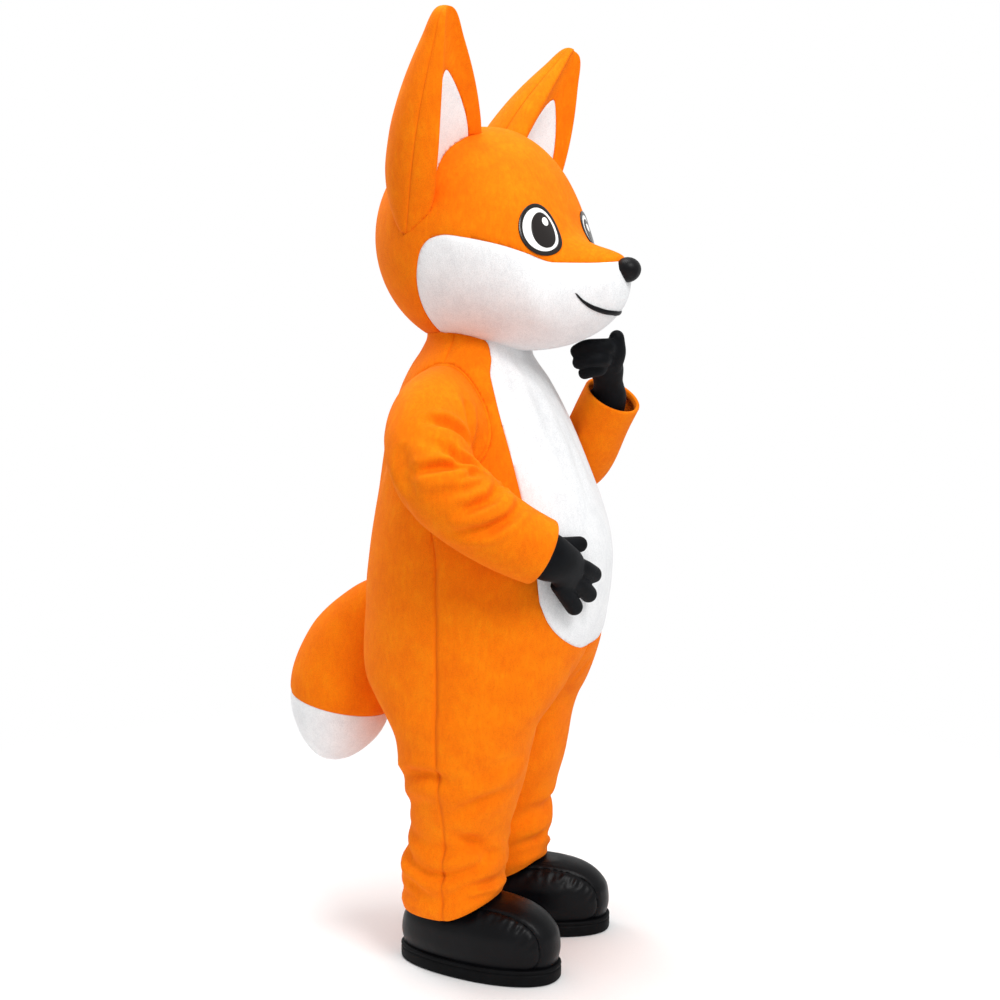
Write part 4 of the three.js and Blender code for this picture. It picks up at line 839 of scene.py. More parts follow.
def suit_half(side):
    """One side of trunk and leg, cut along its seams; each face is numbered with its panel."""
    half = bmesh.new()
    number = half.faces.layers.int.new("piece")
    bmesh.ops.create_grid(half, x_segments=SUIT_COLUMNS, y_segments=SUIT_ROWS, size=1)
    for vert in half.verts:
        level = HEM_HEIGHT + (NECK_TOP - HEM_HEIGHT) * (vert.co.y + 1) / 2
        start = front_middle(level)
        vert.co = place(start + (180 - 2 * start) * (vert.co.x + 1) / 2, level, 0)
    for edge_of in (off_armhole, off_belly, past_side_seam):
        cut_along(half, edge_of)
    inside = [f for f in half.faces if off_armhole(centre_of(f)) < 0]
    bmesh.ops.delete(half, geom=inside, context="FACES")
    for face in half.faces:
        spot = centre_of(face)
        if off_belly(spot) < 0:
            face[number] = PANELS.index("suit_belly")
        else:
            face[number] = (0 if side > 0 else 2) + (0 if past_side_seam(spot) < 0 else 1)
    for vert in half.verts:
        phi, level, _ = vert.co / MM
        vert.co = body_point(side, phi, level)
    if side < 0:
        bmesh.ops.reverse_faces(half, faces=half.faces)
    return half


def joined(first, second):
    """One skin from two that share an edge."""
    mesh = bpy.data.meshes.new("working")
    second.to_mesh(mesh)
    first.from_mesh(mesh)
    bpy.data.meshes.remove(mesh)
    second.free()
    bmesh.ops.remove_doubles(first, verts=[v for v in first.verts if v.is_boundary], dist=0.05 * MM)
    return first


def panel(skin, index):
    """A copy of the faces that carry one panel's number."""
    part = skin.copy()
    number = part.faces.layers.int["piece"]
    bmesh.ops.delete(part, geom=[f for f in part.faces if f[number] != index], context="FACES")
    return part


def is_armhole(vert):
    return vert.is_boundary and HEM_TOP * MM < vert.co.z < (NECK_TOP + FLOOR - 20) * MM


def set_in(sleeve_skin, armhole):
    """Moves a sleeve's head edge onto the edge of its armhole."""
    starts = np.array([edge[0][:] for edge in armhole])
    runs = np.array([edge[1][:] for edge in armhole]) - starts
    for vert in sleeve_skin.verts:
        if vert.is_boundary and vert.co.y > CUFF_FORWARD * MM:
            off = np.array(vert.co[:]) - starts
            share = np.clip((off * runs).sum(1) / (runs * runs).sum(1), 0, 1)[:, None]
            spots = starts + share * runs
            nearest = np.linalg.norm(spots - np.array(vert.co[:]), axis=1).argmin()
            vert.co = Vector(spots[nearest])


SEAM_DEPTH = 2.6
SEAM_WIDTH = 7
SEAM_KEPT = 0.3  # a place with more painted seam shade than this lies on a seam and isn't softened
SLEEVE_FOLD_STRENGTH = 2.2
LEG_FOLD_STRENGTH = 3.0
LEFT_LEG_SHARE = 0.6
SHIN_TOP = -912  # the legs are softened once more lower than this
HEM_TOP = -1140  # everything of the suit lower than this is near a trouser hem
CUFF_FORWARD = -150  # and everything of a sleeve further forward than this is near its cuff
SLEEVES = table(
    "name side halvings folds",
    ("sleeve_left", 1, 3, LEFT_SLEEVE_FOLDS), ("sleeve_right", -1, 4, RIGHT_SLEEVE_FOLDS),
)


def suit():
    trunk = joined(suit_half(1), suit_half(-1))
    number = trunk.faces.layers.int["piece"]
    seam_points = [
        v.co.copy() for e in trunk.edges for v in e.verts
        if len({f[number] for f in e.link_faces}) > 1 or (e.is_boundary and is_armhole(v))
    ]
    groove(trunk, seam_points, SEAM_DEPTH, SEAM_WIDTH)
    press(trunk, TRUNK_FOLDS + BELLY_FOLDS)
    press(trunk, LEFT_LEG_FOLDS, LEG_FOLD_STRENGTH * LEFT_LEG_SHARE, 1)
    press(trunk, RIGHT_LEG_FOLDS, LEG_FOLD_STRENGTH, -1)
    seam = seam_layer(trunk)
    soften(trunk, 2, [v for v in trunk.verts if v[seam] < SEAM_KEPT])
    soften(trunk, 2, [v for v in trunk.verts if v.co.z < SHIN_TOP * MM])
    armholes = {
        side: [
            [v.co.copy() for v in e.verts] for e in trunk.edges
            if e.is_boundary and is_armhole(e.verts[0]) and e.verts[0].co.x * side > 0
        ]
        for side in (1, -1)
    }
    whole = BVHTree.FromBMesh(trunk)
    turn_hem(trunk, lambda p: p[2] < HEM_TOP)
    skins = {name: panel(trunk, index) for index, name in enumerate(PANELS)}
    trunk.free()
    for row in SLEEVES:
        armhole = armholes[row["side"]]
        sleeve = modified(
            outer_skin(row["name"]), "SUBSURF", levels=row["halvings"],
            render_levels=row["halvings"], boundary_smooth="PRESERVE_CORNERS",
        )
        groove(sleeve, [v for edge in armhole for v in edge], SEAM_DEPTH, SEAM_WIDTH)
        set_in(sleeve, armhole)
        press(sleeve, row["folds"], SLEEVE_FOLD_STRENGTH)
        soften(sleeve, 2)
        turn_hem(sleeve, lambda p: p[1] < CUFF_FORWARD)
        skins[row["name"]] = sleeve
    for name, skin in skins.items():
        material, slot = (WHITE, "white_plush") if name == "suit_belly" else (ORANGE, "orange_plush")
        finish_piece(
            skin, name + "_plush", material, [name], PLUSH_WALL,
        )
    return whole


# Head: ovals across its forward axis, as wide, high and low as the table says.
HEAD_MIDDLE = (0, 5, 1590 + FLOOR)
HEAD_TURN = -11  # degrees about the upright axis, towards the wearer's right
HEAD_BACK = {"half": 226, "top": 238, "bottom": 240}
HEAD = table(
    "forward half top bottom",
    (0, 226, 238, -240), (60, 222, 232, -243), (110, 210, 211, -244), (155, 190, 172, -242),
    (181, 175, 132, -239), (198, 163, 92, -236), (211, 152, 55, -233), (225, 139, 22, -229),
    (244, 121, -4, -223), (286, 86, -24, -205), (318, 64, -34, -183), (345, 42, -46, -154),
    (360, 21, -62, -122),
)
MUZZLE_TIP = (366, -88)  # forward, up
HEAD_AROUND = 132
FACE_STEEP = 85  # degrees, from where the line runs down so steeply that a height counts for less
FACE_LINE = table(
    "azimuth z",
    (0, -58), (12, -63), (23, -63), (36, -46), (50, -28), (66, -14), (77, -8), (85, -14), (91, -34),
    (96, -76), (100, -124), (103, -172), (105, -226), (106.5, -330),
)
head_turned = Matrix.Translation(Vector(HEAD_MIDDLE)) @ Matrix.Rotation(radians(HEAD_TURN), 4, "Z")
head_back = head_turned.inverted()


def on_head(x, forward, up):
    """A place in millimetres from the head's own axes: across, forward and up."""
    return head_turned @ Vector((x, -forward, up))


def head_form():
    half = smoothed(HEAD, "forward", "half")
    top = smoothed(HEAD, "forward", "top")
    bottom = smoothed(HEAD, "forward", "bottom")

    def oval(forward, wide, high, low):
        centre, height = (high + low) / 2, (high - low) / 2
        return [
            on_head(wide * sin(turn), forward, centre + height * cos(turn)) * MM
            for turn in turns(HEAD_AROUND)
        ]

    rings = []
    for angle in range(88, 0, -3):
        share = cos(radians(angle))
        rings.append(oval(
            -HEAD_BACK["half"] * sin(radians(angle)), HEAD_BACK["half"] * share,
            HEAD_BACK["top"] * share, -HEAD_BACK["bottom"] * share,
        ))
    stops = [*range(0, 150, 9), *range(150, 250, 5), *range(250, 340, 8), *range(340, 361, 4)]
    rings += [oval(f, half(f), top(f), bottom(f)) for f in stops]
    bm = rings_of(rings, HEAD_AROUND, on_head(0, *MUZZLE_TIP) * MM)
    bm.verts.ensure_lookup_table()
    fan(bm, bm.verts[:HEAD_AROUND], on_head(0, -HEAD_BACK["half"], 0) * MM)
    bmesh.ops.recalc_face_normals(bm, faces=bm.faces)
    soften(bm, 5)
    return bm


face_height = smoothed(FACE_LINE, "azimuth", "z")


def above_face_line(place_mm):
    x, y, z = head_back @ Vector(place_mm)
    azimuth = abs(degrees(atan2(x, -y)))
    reach = hypot(x, y)
    if azimuth >= FACE_LINE[-1]["azimuth"]:
        return reach * radians(azimuth - FACE_LINE[-1]["azimuth"]) + 1
    steep = max(0.0, (azimuth - FACE_STEEP) / 20)
    return (z - face_height(azimuth)) / (1 + 3 * steep)


NECK = {"half": 113, "front": 112.5, "back": 113, "middle": 5}  # the suit's collar, outside
NECK_RADIUS = 110  # which turns a share of the collar into millimetres
NECK_PLAY = 3  # mm between collar and head
NECK_REACH = 100  # the head's opening lies lower than this under its middle


def outside_neck(place_mm):
    x, y, z = place_mm
    if z > HEAD_MIDDLE[2] - NECK_REACH:
        return NECK_REACH
    deep = NECK["front"] if y < NECK["middle"] else NECK["back"]
    return NECK_RADIUS * (hypot(x / NECK["half"], (y - NECK["middle"]) / deep) - 1) - NECK_PLAY


def head():
    form = head_form()
    skin = BVHTree.FromBMesh(form)
    cut_along(form, outside_neck)
    shell = kept_where(form, lambda p: outside_neck(p) > 0)
    form.free()
    cut_along(shell, above_face_line)
    crown = kept_where(shell, lambda p: above_face_line(p) > 0)
    face = kept_where(shell, lambda p: above_face_line(p) <= 0)
    shell.free()
    sew([face, crown], depth=2.6, width=6.5)
    for part, name, material, slot in (
        (face, "head_face", WHITE, "white_plush"), (crown, "head_crown", ORANGE, "orange_plush"),
    ):
        piece = finish_piece(part, name + "_plush", material, [name], HEAD_WALL)
    return skin


def beyond(tree):
    """How far a place in millimetres lies outside a skin, under 0 where it is inside."""
    def distance(place_mm):
        spot, normal, _, gap = tree.find_nearest(Vector(place_mm) * MM)
        outward = (Vector(place_mm) * MM - spot).dot(normal)
        return gap / MM if outward > 0 else -gap / MM
    return distance


# Ears: stuffed, dished in front inside a round rim, with a white panel sewn into the dish.
EAR_TIP = (268, 89, 437)  # across, forward and up from the head's middle
EAR_BASE = (172, 4, 182)
EAR = table(
    "down half deep",
    (3, 14, 13), (12, 25, 23), (30, 35, 31), (60, 46, 41), (95, 61, 54), (143, 80, 70),
    (200, 98, 85), (260, 111, 96), (330, 119, 100), (385, 120, 90), (425, 118, 68), (450, 114, 42),
    (462, 108, 16),
)
EAR_RIM = 0.8  # of the half width, where the dish ends
EAR_FACE = 0.6  # of the depth, how far forward the rim stands
EAR_DISH = 0.42  # of the depth, how far the dish sinks
EAR_SEAM = 0.1  # of the depth, how far forward the seam between back and rim runs
EAR_PANEL_TOP = 128  # mm under the tip
EAR_PANEL_ROUND = 150  # mm over which the panel widens
EAR_PANEL_SHARE = 0.7  # of the dish
EAR_AROUND = 96


def ear(side, name, off_head):
    half = smoothed(EAR, "down", "half")
    deep = smoothed(EAR, "down", "deep")
    tip = on_head(side * EAR_TIP[0], *EAR_TIP[1:])
    down = (on_head(side * EAR_BASE[0], *EAR_BASE[1:]) - tip).normalized()
    facing = on_head(0, 1, 0) - on_head(0, 0, 0)
    forward = (facing - down * facing.dot(down)).normalized()
    across = down.cross(forward)

    def local(place_mm):
        off = Vector(place_mm) - tip
        return off.dot(across), off.dot(forward), off.dot(down)

    def ring(along):
        points = []
        for turn in turns(EAR_AROUND):
            u = sin(turn)
            y = deep(along) * cos(turn)
            if cos(turn) > 0:
                y = min(y, deep(along) * (EAR_FACE - EAR_DISH * (1 - (u / EAR_RIM) ** 2)))
            points.append((tip + across * half(along) * u + forward * y + down * along) * MM)
        return points

    foot = EAR[-1]["down"]
    stops = [3, 5, 8, 12, 17, 23, 30, *range(36, foot, 6), foot]
    form = rings_of([ring(along) for along in stops], EAR_AROUND, (tip + down * (foot + 4)) * MM)
    form.verts.ensure_lookup_table()
    fan(form, form.verts[:EAR_AROUND], tip * MM)
    bmesh.ops.recalc_face_normals(form, faces=form.faces)
    soften(form, 6)

    def ahead_of_seam(place_mm):
        _, y, along = local(place_mm)
        return y - EAR_SEAM * deep(along)

    def in_panel(place_mm):
        x, y, along = local(place_mm)
        if along < EAR_PANEL_TOP:
            return along - EAR_PANEL_TOP - abs(x)
        rise = min(1, max(0, (along - EAR_PANEL_TOP) / EAR_PANEL_ROUND))
        width = EAR_PANEL_SHARE * EAR_RIM * sqrt(max(0, 1 - (1 - rise) ** 2)) ** 1.2
        return width * half(along) - abs(x)

    cut_along(form, off_head)
    above = kept_where(form, lambda p: off_head(p) > 0)
    form.free()
    cut_along(above, ahead_of_seam)
    back = kept_where(above, lambda p: ahead_of_seam(p) <= 0)
    front = kept_where(above, lambda p: ahead_of_seam(p) > 0)
    above.free()
    cut_along(front, in_panel)
    rim = kept_where(front, lambda p: in_panel(p) <= 0)
    lining = kept_where(front, lambda p: in_panel(p) > 0)
    front.free()
    # The grooves run out at the tip, where the cloth is too narrow for them.
    sew([back, rim, lining], 1.8, 4.5, lambda co: ease(20, 70, (co / MM - tip).length))
    pieces = [
        finish_piece(bm, f"{part}_{name}_plush", material, [f"{part}_{name}"], PLUSH_WALL)
        for bm, part, material, slot in (
            (back, "ear_back", ORANGE, "orange_plush"),
            (rim, "ear_front", ORANGE, "orange_plush"),
            (lining, "ear_inner", WHITE, "white_plush"),
        )
    ]


# Eyes, mouth and nose are laid on the head.
EYE = {"azimuth": 27, "height": 3, "half": 44, "tall": 53}
EYE_RADIUS = 205  # of the head at the eyes, for widths along its face
# Each film's place and size as shares of the eye, then its lift, thickness and doming in mm.
EYE_LAYERS = table(
    "layer across up half tall base thick dome",
    ("rim", 0, 0, 1, 1, 0.2, 2.6, 0),
    ("white", 0, 0, 0.88, 0.88, 0.2, 1.9, 0.6),
    ("iris", -0.12, -0.02, 0.58, 0.68, 2.2, 1.3, 1.2),
    ("glint", -0.28, 0.3, 0.16, 0.16, 3.9, 0.9, 0.3),
)
EYE_RIM_HOLE = 0.85
DISC_AROUND = 72


def on_face(skin, azimuth, height, lift):
    """A place on the head, straight out at an azimuth from its front, lifted off it, in metres."""
    axis = on_head(0, 0, height) * MM
    way = on_head(sin(radians(azimuth)), cos(radians(azimuth)), height) - on_head(0, 0, height)
    spot, normal, _, _ = skin.ray_cast(axis + way * 0.6, -way)
    if normal.dot(way) < 0:
        normal = -normal
    return spot + normal * lift * MM


def eye(skin, side, name):
    for row in EYE_LAYERS:
        layer = row["layer"]
        low, top = row["base"], row["base"] + row["thick"]

        def ring(share, lift):
            points = []
            for turn in turns(DISC_AROUND):
                across = EYE["half"] * (row["across"] + row["half"] * share * sin(turn))
                up = EYE["tall"] * (row["up"] + row["tall"] * share * cos(turn))
                azimuth = side * (EYE["azimuth"] + degrees(across / EYE_RADIUS))
                points.append(on_face(skin, azimuth, EYE["height"] + up, lift))
            return points

        soft = 0.6 / (EYE["half"] * row["half"])
        shares = [
            (1, low), (1 + soft, low + 0.4), (1 + soft, top - 0.6), (1, top - 0.15), (1 - soft, top),
        ]
        if layer == "rim":
            hole = EYE_RIM_HOLE
            shares += [(0.5 + hole / 2, top + 0.3), (hole + soft, top), (hole, top - 0.5), (hole, low)]
            shares += [(0.5 + hole / 2, low - 0.1)]
            bm = rings_of([ring(*stop) for stop in shares], DISC_AROUND)
            bmesh.ops.bridge_loops(bm, edges=[e for e in bm.edges if e.is_boundary])
            bmesh.ops.recalc_face_normals(bm, faces=bm.faces)
        else:
            shares += [(s, top + row["dome"] * (1 - s * s)) for s in (0.9, 0.75, 0.55, 0.35, 0.15)]
            middle = ring(0, top + row["dome"])[0]
            bm = rings_of([ring(*stop) for stop in shares], DISC_AROUND, middle)
        dark = layer in ("rim", "iris")
        finish_piece(
            bm, f"eye_{layer}_{name}_disc", EYE_DARK if dark else EYE_WHITE,
            [f"eye_{layer}_{name}"],
        )


SMILE = table(
    "azimuth height",
    (0, -166), (5, -164), (10, -156), (14, -143), (17, -126),
)
SMILE_HALF = 4.4  # half its width
SMILE_RISE = 2.6
SMILE_STEPS = 60
SMILE_AROUND = 14


def mouth(skin):
    height_at = smoothed(SMILE, "azimuth", "height")
    reach = SMILE[-1]["azimuth"]
    rings = []
    for i in range(SMILE_STEPS + 1):
        azimuth = reach * (2 * i / SMILE_STEPS - 1)
        end = 1 - abs(2 * i / SMILE_STEPS - 1)
        full = sqrt(min(1, end / 0.05 + 0.02)) * (0.62 + 0.38 * ease(0, 0.5, end))
        ring = []
        for turn in turns(SMILE_AROUND):
            off = SMILE_HALF * full * cos(turn)
            lift = 0.9 + SMILE_RISE * full * sin(turn)
            ring.append(on_face(skin, azimuth, height_at(abs(azimuth)) + off, max(lift, -0.5)))
        rings.append(ring)
    bm = rings_of(rings, SMILE_AROUND, sum(rings[-1], Vector()) / SMILE_AROUND)
    bm.verts.ensure_lookup_table()
    bm.faces.new(bm.verts[:SMILE_AROUND])
    bmesh.ops.recalc_face_normals(bm, faces=bm.faces)
    finish_piece(bm, "mouth_cord", FELT, ["mouth"])


NOSE = {"forward": 360, "up": -77, "half": 27, "deep": 28, "tall": 26}


def nose():
    bm = bmesh.new()
    bmesh.ops.create_uvsphere(bm, u_segments=64, v_segments=40, radius=1)
    for vert in bm.verts:
        x, y, z = vert.co
        wide = 1 + 0.16 * z - 0.1 * max(0, -z)
        dent = 0.05 * bell(x, 0.18) * ease(-0.2, 0.6, -y) * ease(0.5, -0.9, z)
        vert.co = on_head(
            NOSE["half"] * x * wide, NOSE["forward"] - NOSE["deep"] * y * (1 - dent),
            NOSE["up"] + NOSE["tall"] * (z * (1 - 0.06 * x * x)),
        ) * MM
    bmesh.ops.recalc_face_normals(bm, faces=bm.faces)
    piece = finish_piece(bm, "nose_ball", FELT, ["nose"])


# Tail: stuffed, its tip white.
TAIL = table(
    "at y z radius",
    (0, 190, 812, 46), (1, 262, 752, 78), (2, 312, 670, 112), (3, 338, 590, 124),
    (4, 356, 512, 112), (5, 378, 446, 74), (6, 396, 404, 22),
)
TAIL_TIP_HEIGHT = 545  # above the floor, where the white begins at the tail's middle
TAIL_AROUND = 72
TAIL_STATIONS = 70
TAIL_ROUND_FROM = 5.6  # rows, from where the tip closes as a round cap
TAIL_POINT = (0, 398, 398)


def tail(off_back):
    y_at, z_at = smoothed(TAIL, "at", "y"), smoothed(TAIL, "at", "z")
    radius_at = smoothed(TAIL, "at", "radius")
    rings = []
    stops = [6 * i / TAIL_STATIONS for i in range(TAIL_STATIONS)] + [5.97, 6.0]
    right = Vector((1, 0, 0))
    for at in stops:
        centre = Vector((0, y_at(at), z_at(at) + FLOOR))
        run = Vector((0, y_at(at + 0.05) - y_at(at - 0.05), z_at(at + 0.05) - z_at(at - 0.05)))
        if at >= 5.95:
            run = Vector((0, 0.4, -0.9))
        up = right.cross(run).normalized()
        radius = radius_at(at)
        if at > TAIL_ROUND_FROM:
            radius = radius * sqrt(max(0.02, 1 - ((at - TAIL_ROUND_FROM) / 0.42) ** 2))
        rings.append([
            (centre + (up * cos(turn) + right * sin(turn)) * radius) * MM
            for turn in turns(TAIL_AROUND)
        ])
    x, y, z = TAIL_POINT
    form = rings_of(rings, TAIL_AROUND, place(x, y, z + FLOOR))
    soften(form, 3)
    cut_along(form, off_back)
    hung = kept_where(form, lambda p: off_back(p) > 0)
    form.free()

    def above_tip(place_mm):
        x, y, z = place_mm
        return (z - FLOOR - TAIL_TIP_HEIGHT) * 0.97 - (y - 348) * 0.22

    cut_along(hung, above_tip)
    base = kept_where(hung, lambda p: above_tip(p) > 0)
    tip = kept_where(hung, lambda p: above_tip(p) <= 0)
    hung.free()
    sew([base, tip], depth=2.5, width=7)
    for part, name, material, slot in (
        (base, "tail_base", ORANGE, "orange_plush"), (tip, "tail_tip", WHITE, "white_plush"),
    ):
        piece = finish_piece(part, name + "_plush", material, [name], PLUSH_WALL)


# Gloves: an oval palm and four digits, grown together and evened out, open at the wrist.
# Palm rows are x, y, height, half thickness and half width; digits are radius, end radius, line.
GLOVES = {
    "left": {
        "facing": (-0.8, 0, -0.6),
        "palm": [
            (194.6, -215, 1212, 50, 54), (180, -238, 1246, 38, 41), (152, -245, 1278, 31, 33),
            (118, -250, 1308, 30, 39), (84, -252, 1329, 27, 41), (62, -254, 1336, 20, 35),
        ],
        "digits": [
            (18, 15, [(72, -276, 1345), (34, -278, 1357), (10, -242, 1356), (8, -202, 1338)]),
            (18, 15, [(70, -260, 1328), (32, -268, 1330), (8, -240, 1327), (8, -206, 1317)]),
            (17, 14, [(82, -244, 1311), (48, -254, 1307), (27, -236, 1302), (30, -214, 1294)]),
            (20, 16, [(104, -270, 1312), (68, -290, 1350), (46, -292, 1390)]),
        ],
    },
    "right": {
        "facing": (-0.55, -0.83, 0),
        "palm": [
            (-302, -192, 961, 50, 50), (-268, -240, 938, 44, 50), (-234, -260, 920, 33, 44),
            (-208, -266, 904, 26, 45), (-188, -270, 891, 20, 42), (-172, -273, 881, 15, 34),
        ],
        "digits": [
            (19, 18.5, [(-210, -260, 920), (-154, -284, 899), (-97, -294, 875)]),
            (19, 18.5, [(-216, -258, 897), (-160, -277, 865), (-108, -287, 832)]),
            (19, 18.5, [(-224, -250, 878), (-187, -260, 842), (-148, -268, 808)]),
            (20, 17, [(-212, -264, 922), (-193, -244, 949), (-124, -277, 947)]),
        ],
    },
}
GLOVE_VOXEL = 2.4
GLOVE_ROUNDS = 9
GLOVE_AROUND = 40
TUBE_STATIONS = 40
PALM_END = 16  # mm over which a palm closes
DIGIT_FACING = (0.2, 0.3, 0.9)
WRIST_SPARE = 14  # mm of palm made past the wrist and cut off again


def line_through(points):
    """A smooth line through points, by their number, and the way it runs."""
    rows = table("at x y z", *((i, *p) for i, p in enumerate(points)))
    columns = [smoothed(rows, "at", name) for name in ("x", "y", "z")]

    def spot(at):
        return Vector([column(at) for column in columns])

    def run(at):
        return (spot(min(at + 0.05, len(points) - 1)) - spot(max(at - 0.05, 0))).normalized()

    return spot, run


def tube(points, size_at, facing, reach):
    """A closed tube with a round end; size_at gives its two half widths at each share."""
    spot, run = line_through(points)
    last = len(points) - 1
    stations = [last * i / TUBE_STATIONS for i in range(TUBE_STATIONS + 1)]
    walked = [0.0]
    for a, b in zip(stations, stations[1:]):
        walked.append(walked[-1] + (spot(b) - spot(a)).length)
    rings = []
    for at, done in zip(stations, walked):
        along = run(at)
        up = (facing - along * facing.dot(along)).normalized()
        across = along.cross(up)
        left = walked[-1] - done
        taper = sqrt(max(0.0, 1 - (1 - left / reach) ** 2)) if left < reach else 1.0
        high, wide = size_at(at / last)
        rings.append([
            (spot(at) + up * high * taper * cos(turn) + across * wide * taper * sin(turn)) * MM
            for turn in turns(GLOVE_AROUND)
        ])
    bm = rings_of(rings[:-1], GLOVE_AROUND, spot(last) * MM)
    bmesh.ops.holes_fill(bm, edges=[e for e in bm.edges if e.is_boundary], sides=0)
    bmesh.ops.recalc_face_normals(bm, faces=bm.faces)
    return bm


def glove(name):
    shape = GLOVES[name]
    facing = Vector(shape["facing"])
    rows = [(x, y, z + FLOOR, thick, wide) for x, y, z, thick, wide in shape["palm"]]
    wrist, ahead = Vector(rows[0][:3]), line_through([row[:3] for row in rows])[1](0)
    spare = (*(wrist - ahead * WRIST_SPARE), *rows[0][3:])
    sizes = table("at thick wide", *((i, *row[3:]) for i, row in enumerate([spare, *rows])))
    thick, wide = smoothed(sizes, "at", "thick"), smoothed(sizes, "at", "wide")
    last = len(sizes) - 1
    hand = tube(
        [spare[:3], *(row[:3] for row in rows)],
        lambda share: (thick(share * last), wide(share * last)), facing, PALM_END,
    )
    for radius, end, line in shape["digits"]:
        points = [(x, y, z + FLOOR) for x, y, z in line]

        def size_at(share, radius=radius, end=end):
            return (radius + (end - radius) * share,) * 2

        hand = joined(hand, tube(points, size_at, Vector(DIGIT_FACING), end))
    skin = modified(hand, "REMESH", mode="VOXEL", voxel_size=GLOVE_VOXEL * MM)
    soften(skin, GLOVE_ROUNDS)

    def past_wrist(place_mm):
        return (Vector(place_mm) - wrist).dot(ahead)

    cut_along(skin, past_wrist)
    opened = kept_where(skin, lambda p: past_wrist(p) > 0)
    skin.free()
    piece = finish_piece(
        opened, f"glove_{name}_knit", GLOVE, [f"glove_{name}"], GLOVE_WALL
    )


# Boots: outlines of the upper at each height, with where its toe and heel end.
BOOT = table(
    "z toe heel half",
    (36, 217, 149, 86), (66, 223, 154, 94), (98, 220, 149, 93), (128, 200, 126, 82),
    (150, 166, 96, 65), (163, 116, 70, 42),
)
BOOT_TOP = (168, 20)  # height, forward
BOOT_LEVELS = 46
BOOT_AROUND = 144
BOOT_SQUARE = 2.3  # exponent of an outline
HEEL_NARROW = 0.1  # how much narrower the heel is
SOLE_MARGIN = 7
SOLE_HEIGHT = 36
SOLE_EDGE = [  # height and how far the edge stands out there
    (0, -6), (1.5, -2.2), (4, -0.4), (7, 0), (22, 0), (24.5, -0.3), (25.5, -2), (27, -2.2),
    (28.5, -0.2), (31, 0.3), (34, -0.2), (35.5, -1.6), (36, -4),
]
VAMP_TOE_HALF = 46
VAMP_INSTEP_HALF = 66
VAMP_LENGTH = 260
ANKLE = {"back": 34, "radius": 58}
# The upper puckers where it is gathered to the vamp; these repeat round its seam.
PUCKER_START = -238
PUCKER_REACH = (34, 52, 27, 42, 60, 31)
PUCKER_DEPTH = (3.4, 2.4, 2.9)
PUCKER_STEP = (13, 16, 12, 18)
PUCKER_WIDTH = 4.6
VAMP_PUCKER_SHARE = 0.5
BOOTS = table(
    "name x y turn",
    ("left", 168, -20, 9), ("right", -104, -1, -7),
)


def boot_outline(toe, heel, half, z, grow):
    middle, length = (toe - heel) / 2, (toe + heel) / 2 + grow
    points = []
    for turn in turns(BOOT_AROUND):
        along = signed_power(cos(turn), 2 / BOOT_SQUARE)
        narrow = 1 - HEEL_NARROW * ease(-0.4, 1, -along)
        x = (half + grow) * narrow * signed_power(sin(turn), 2 / BOOT_SQUARE)
        points.append(place(x, -(middle + length * along), z))
    return points


def vamp_half(y):
    wider = VAMP_INSTEP_HALF - VAMP_TOE_HALF
    return VAMP_TOE_HALF + wider * (y - ANKLE["back"] + VAMP_LENGTH) / VAMP_LENGTH


def vamp_edge(place_mm):
    x, y, _ = place_mm
    return max(abs(x) - vamp_half(y), y - ANKLE["back"])


def puckers_on(upper):
    """Short folds of the upper that run down and away from both sides of the vamp."""
    folds = []
    for side in (-1, 1):
        y = PUCKER_START
        count = 0
        while y < 0:
            start = upper.ray_cast(place(side * vamp_half(y), y, 300), Vector((0, 0, -1)))[0]
            if start is not None:
                reach = PUCKER_REACH[count % len(PUCKER_REACH)]
                off = Vector((side, 0.35 - 0.5 * ease(-120, -230, y), -0.6)).normalized()
                path = [
                    tuple(upper.find_nearest(start + off * reach * share * MM)[0] / MM)
                    for share in (0, 0.5, 1)
                ]
                folds.append((-PUCKER_DEPTH[count % len(PUCKER_DEPTH)], PUCKER_WIDTH, path))
            y += PUCKER_STEP[count % len(PUCKER_STEP)]
            count += 1
    return folds


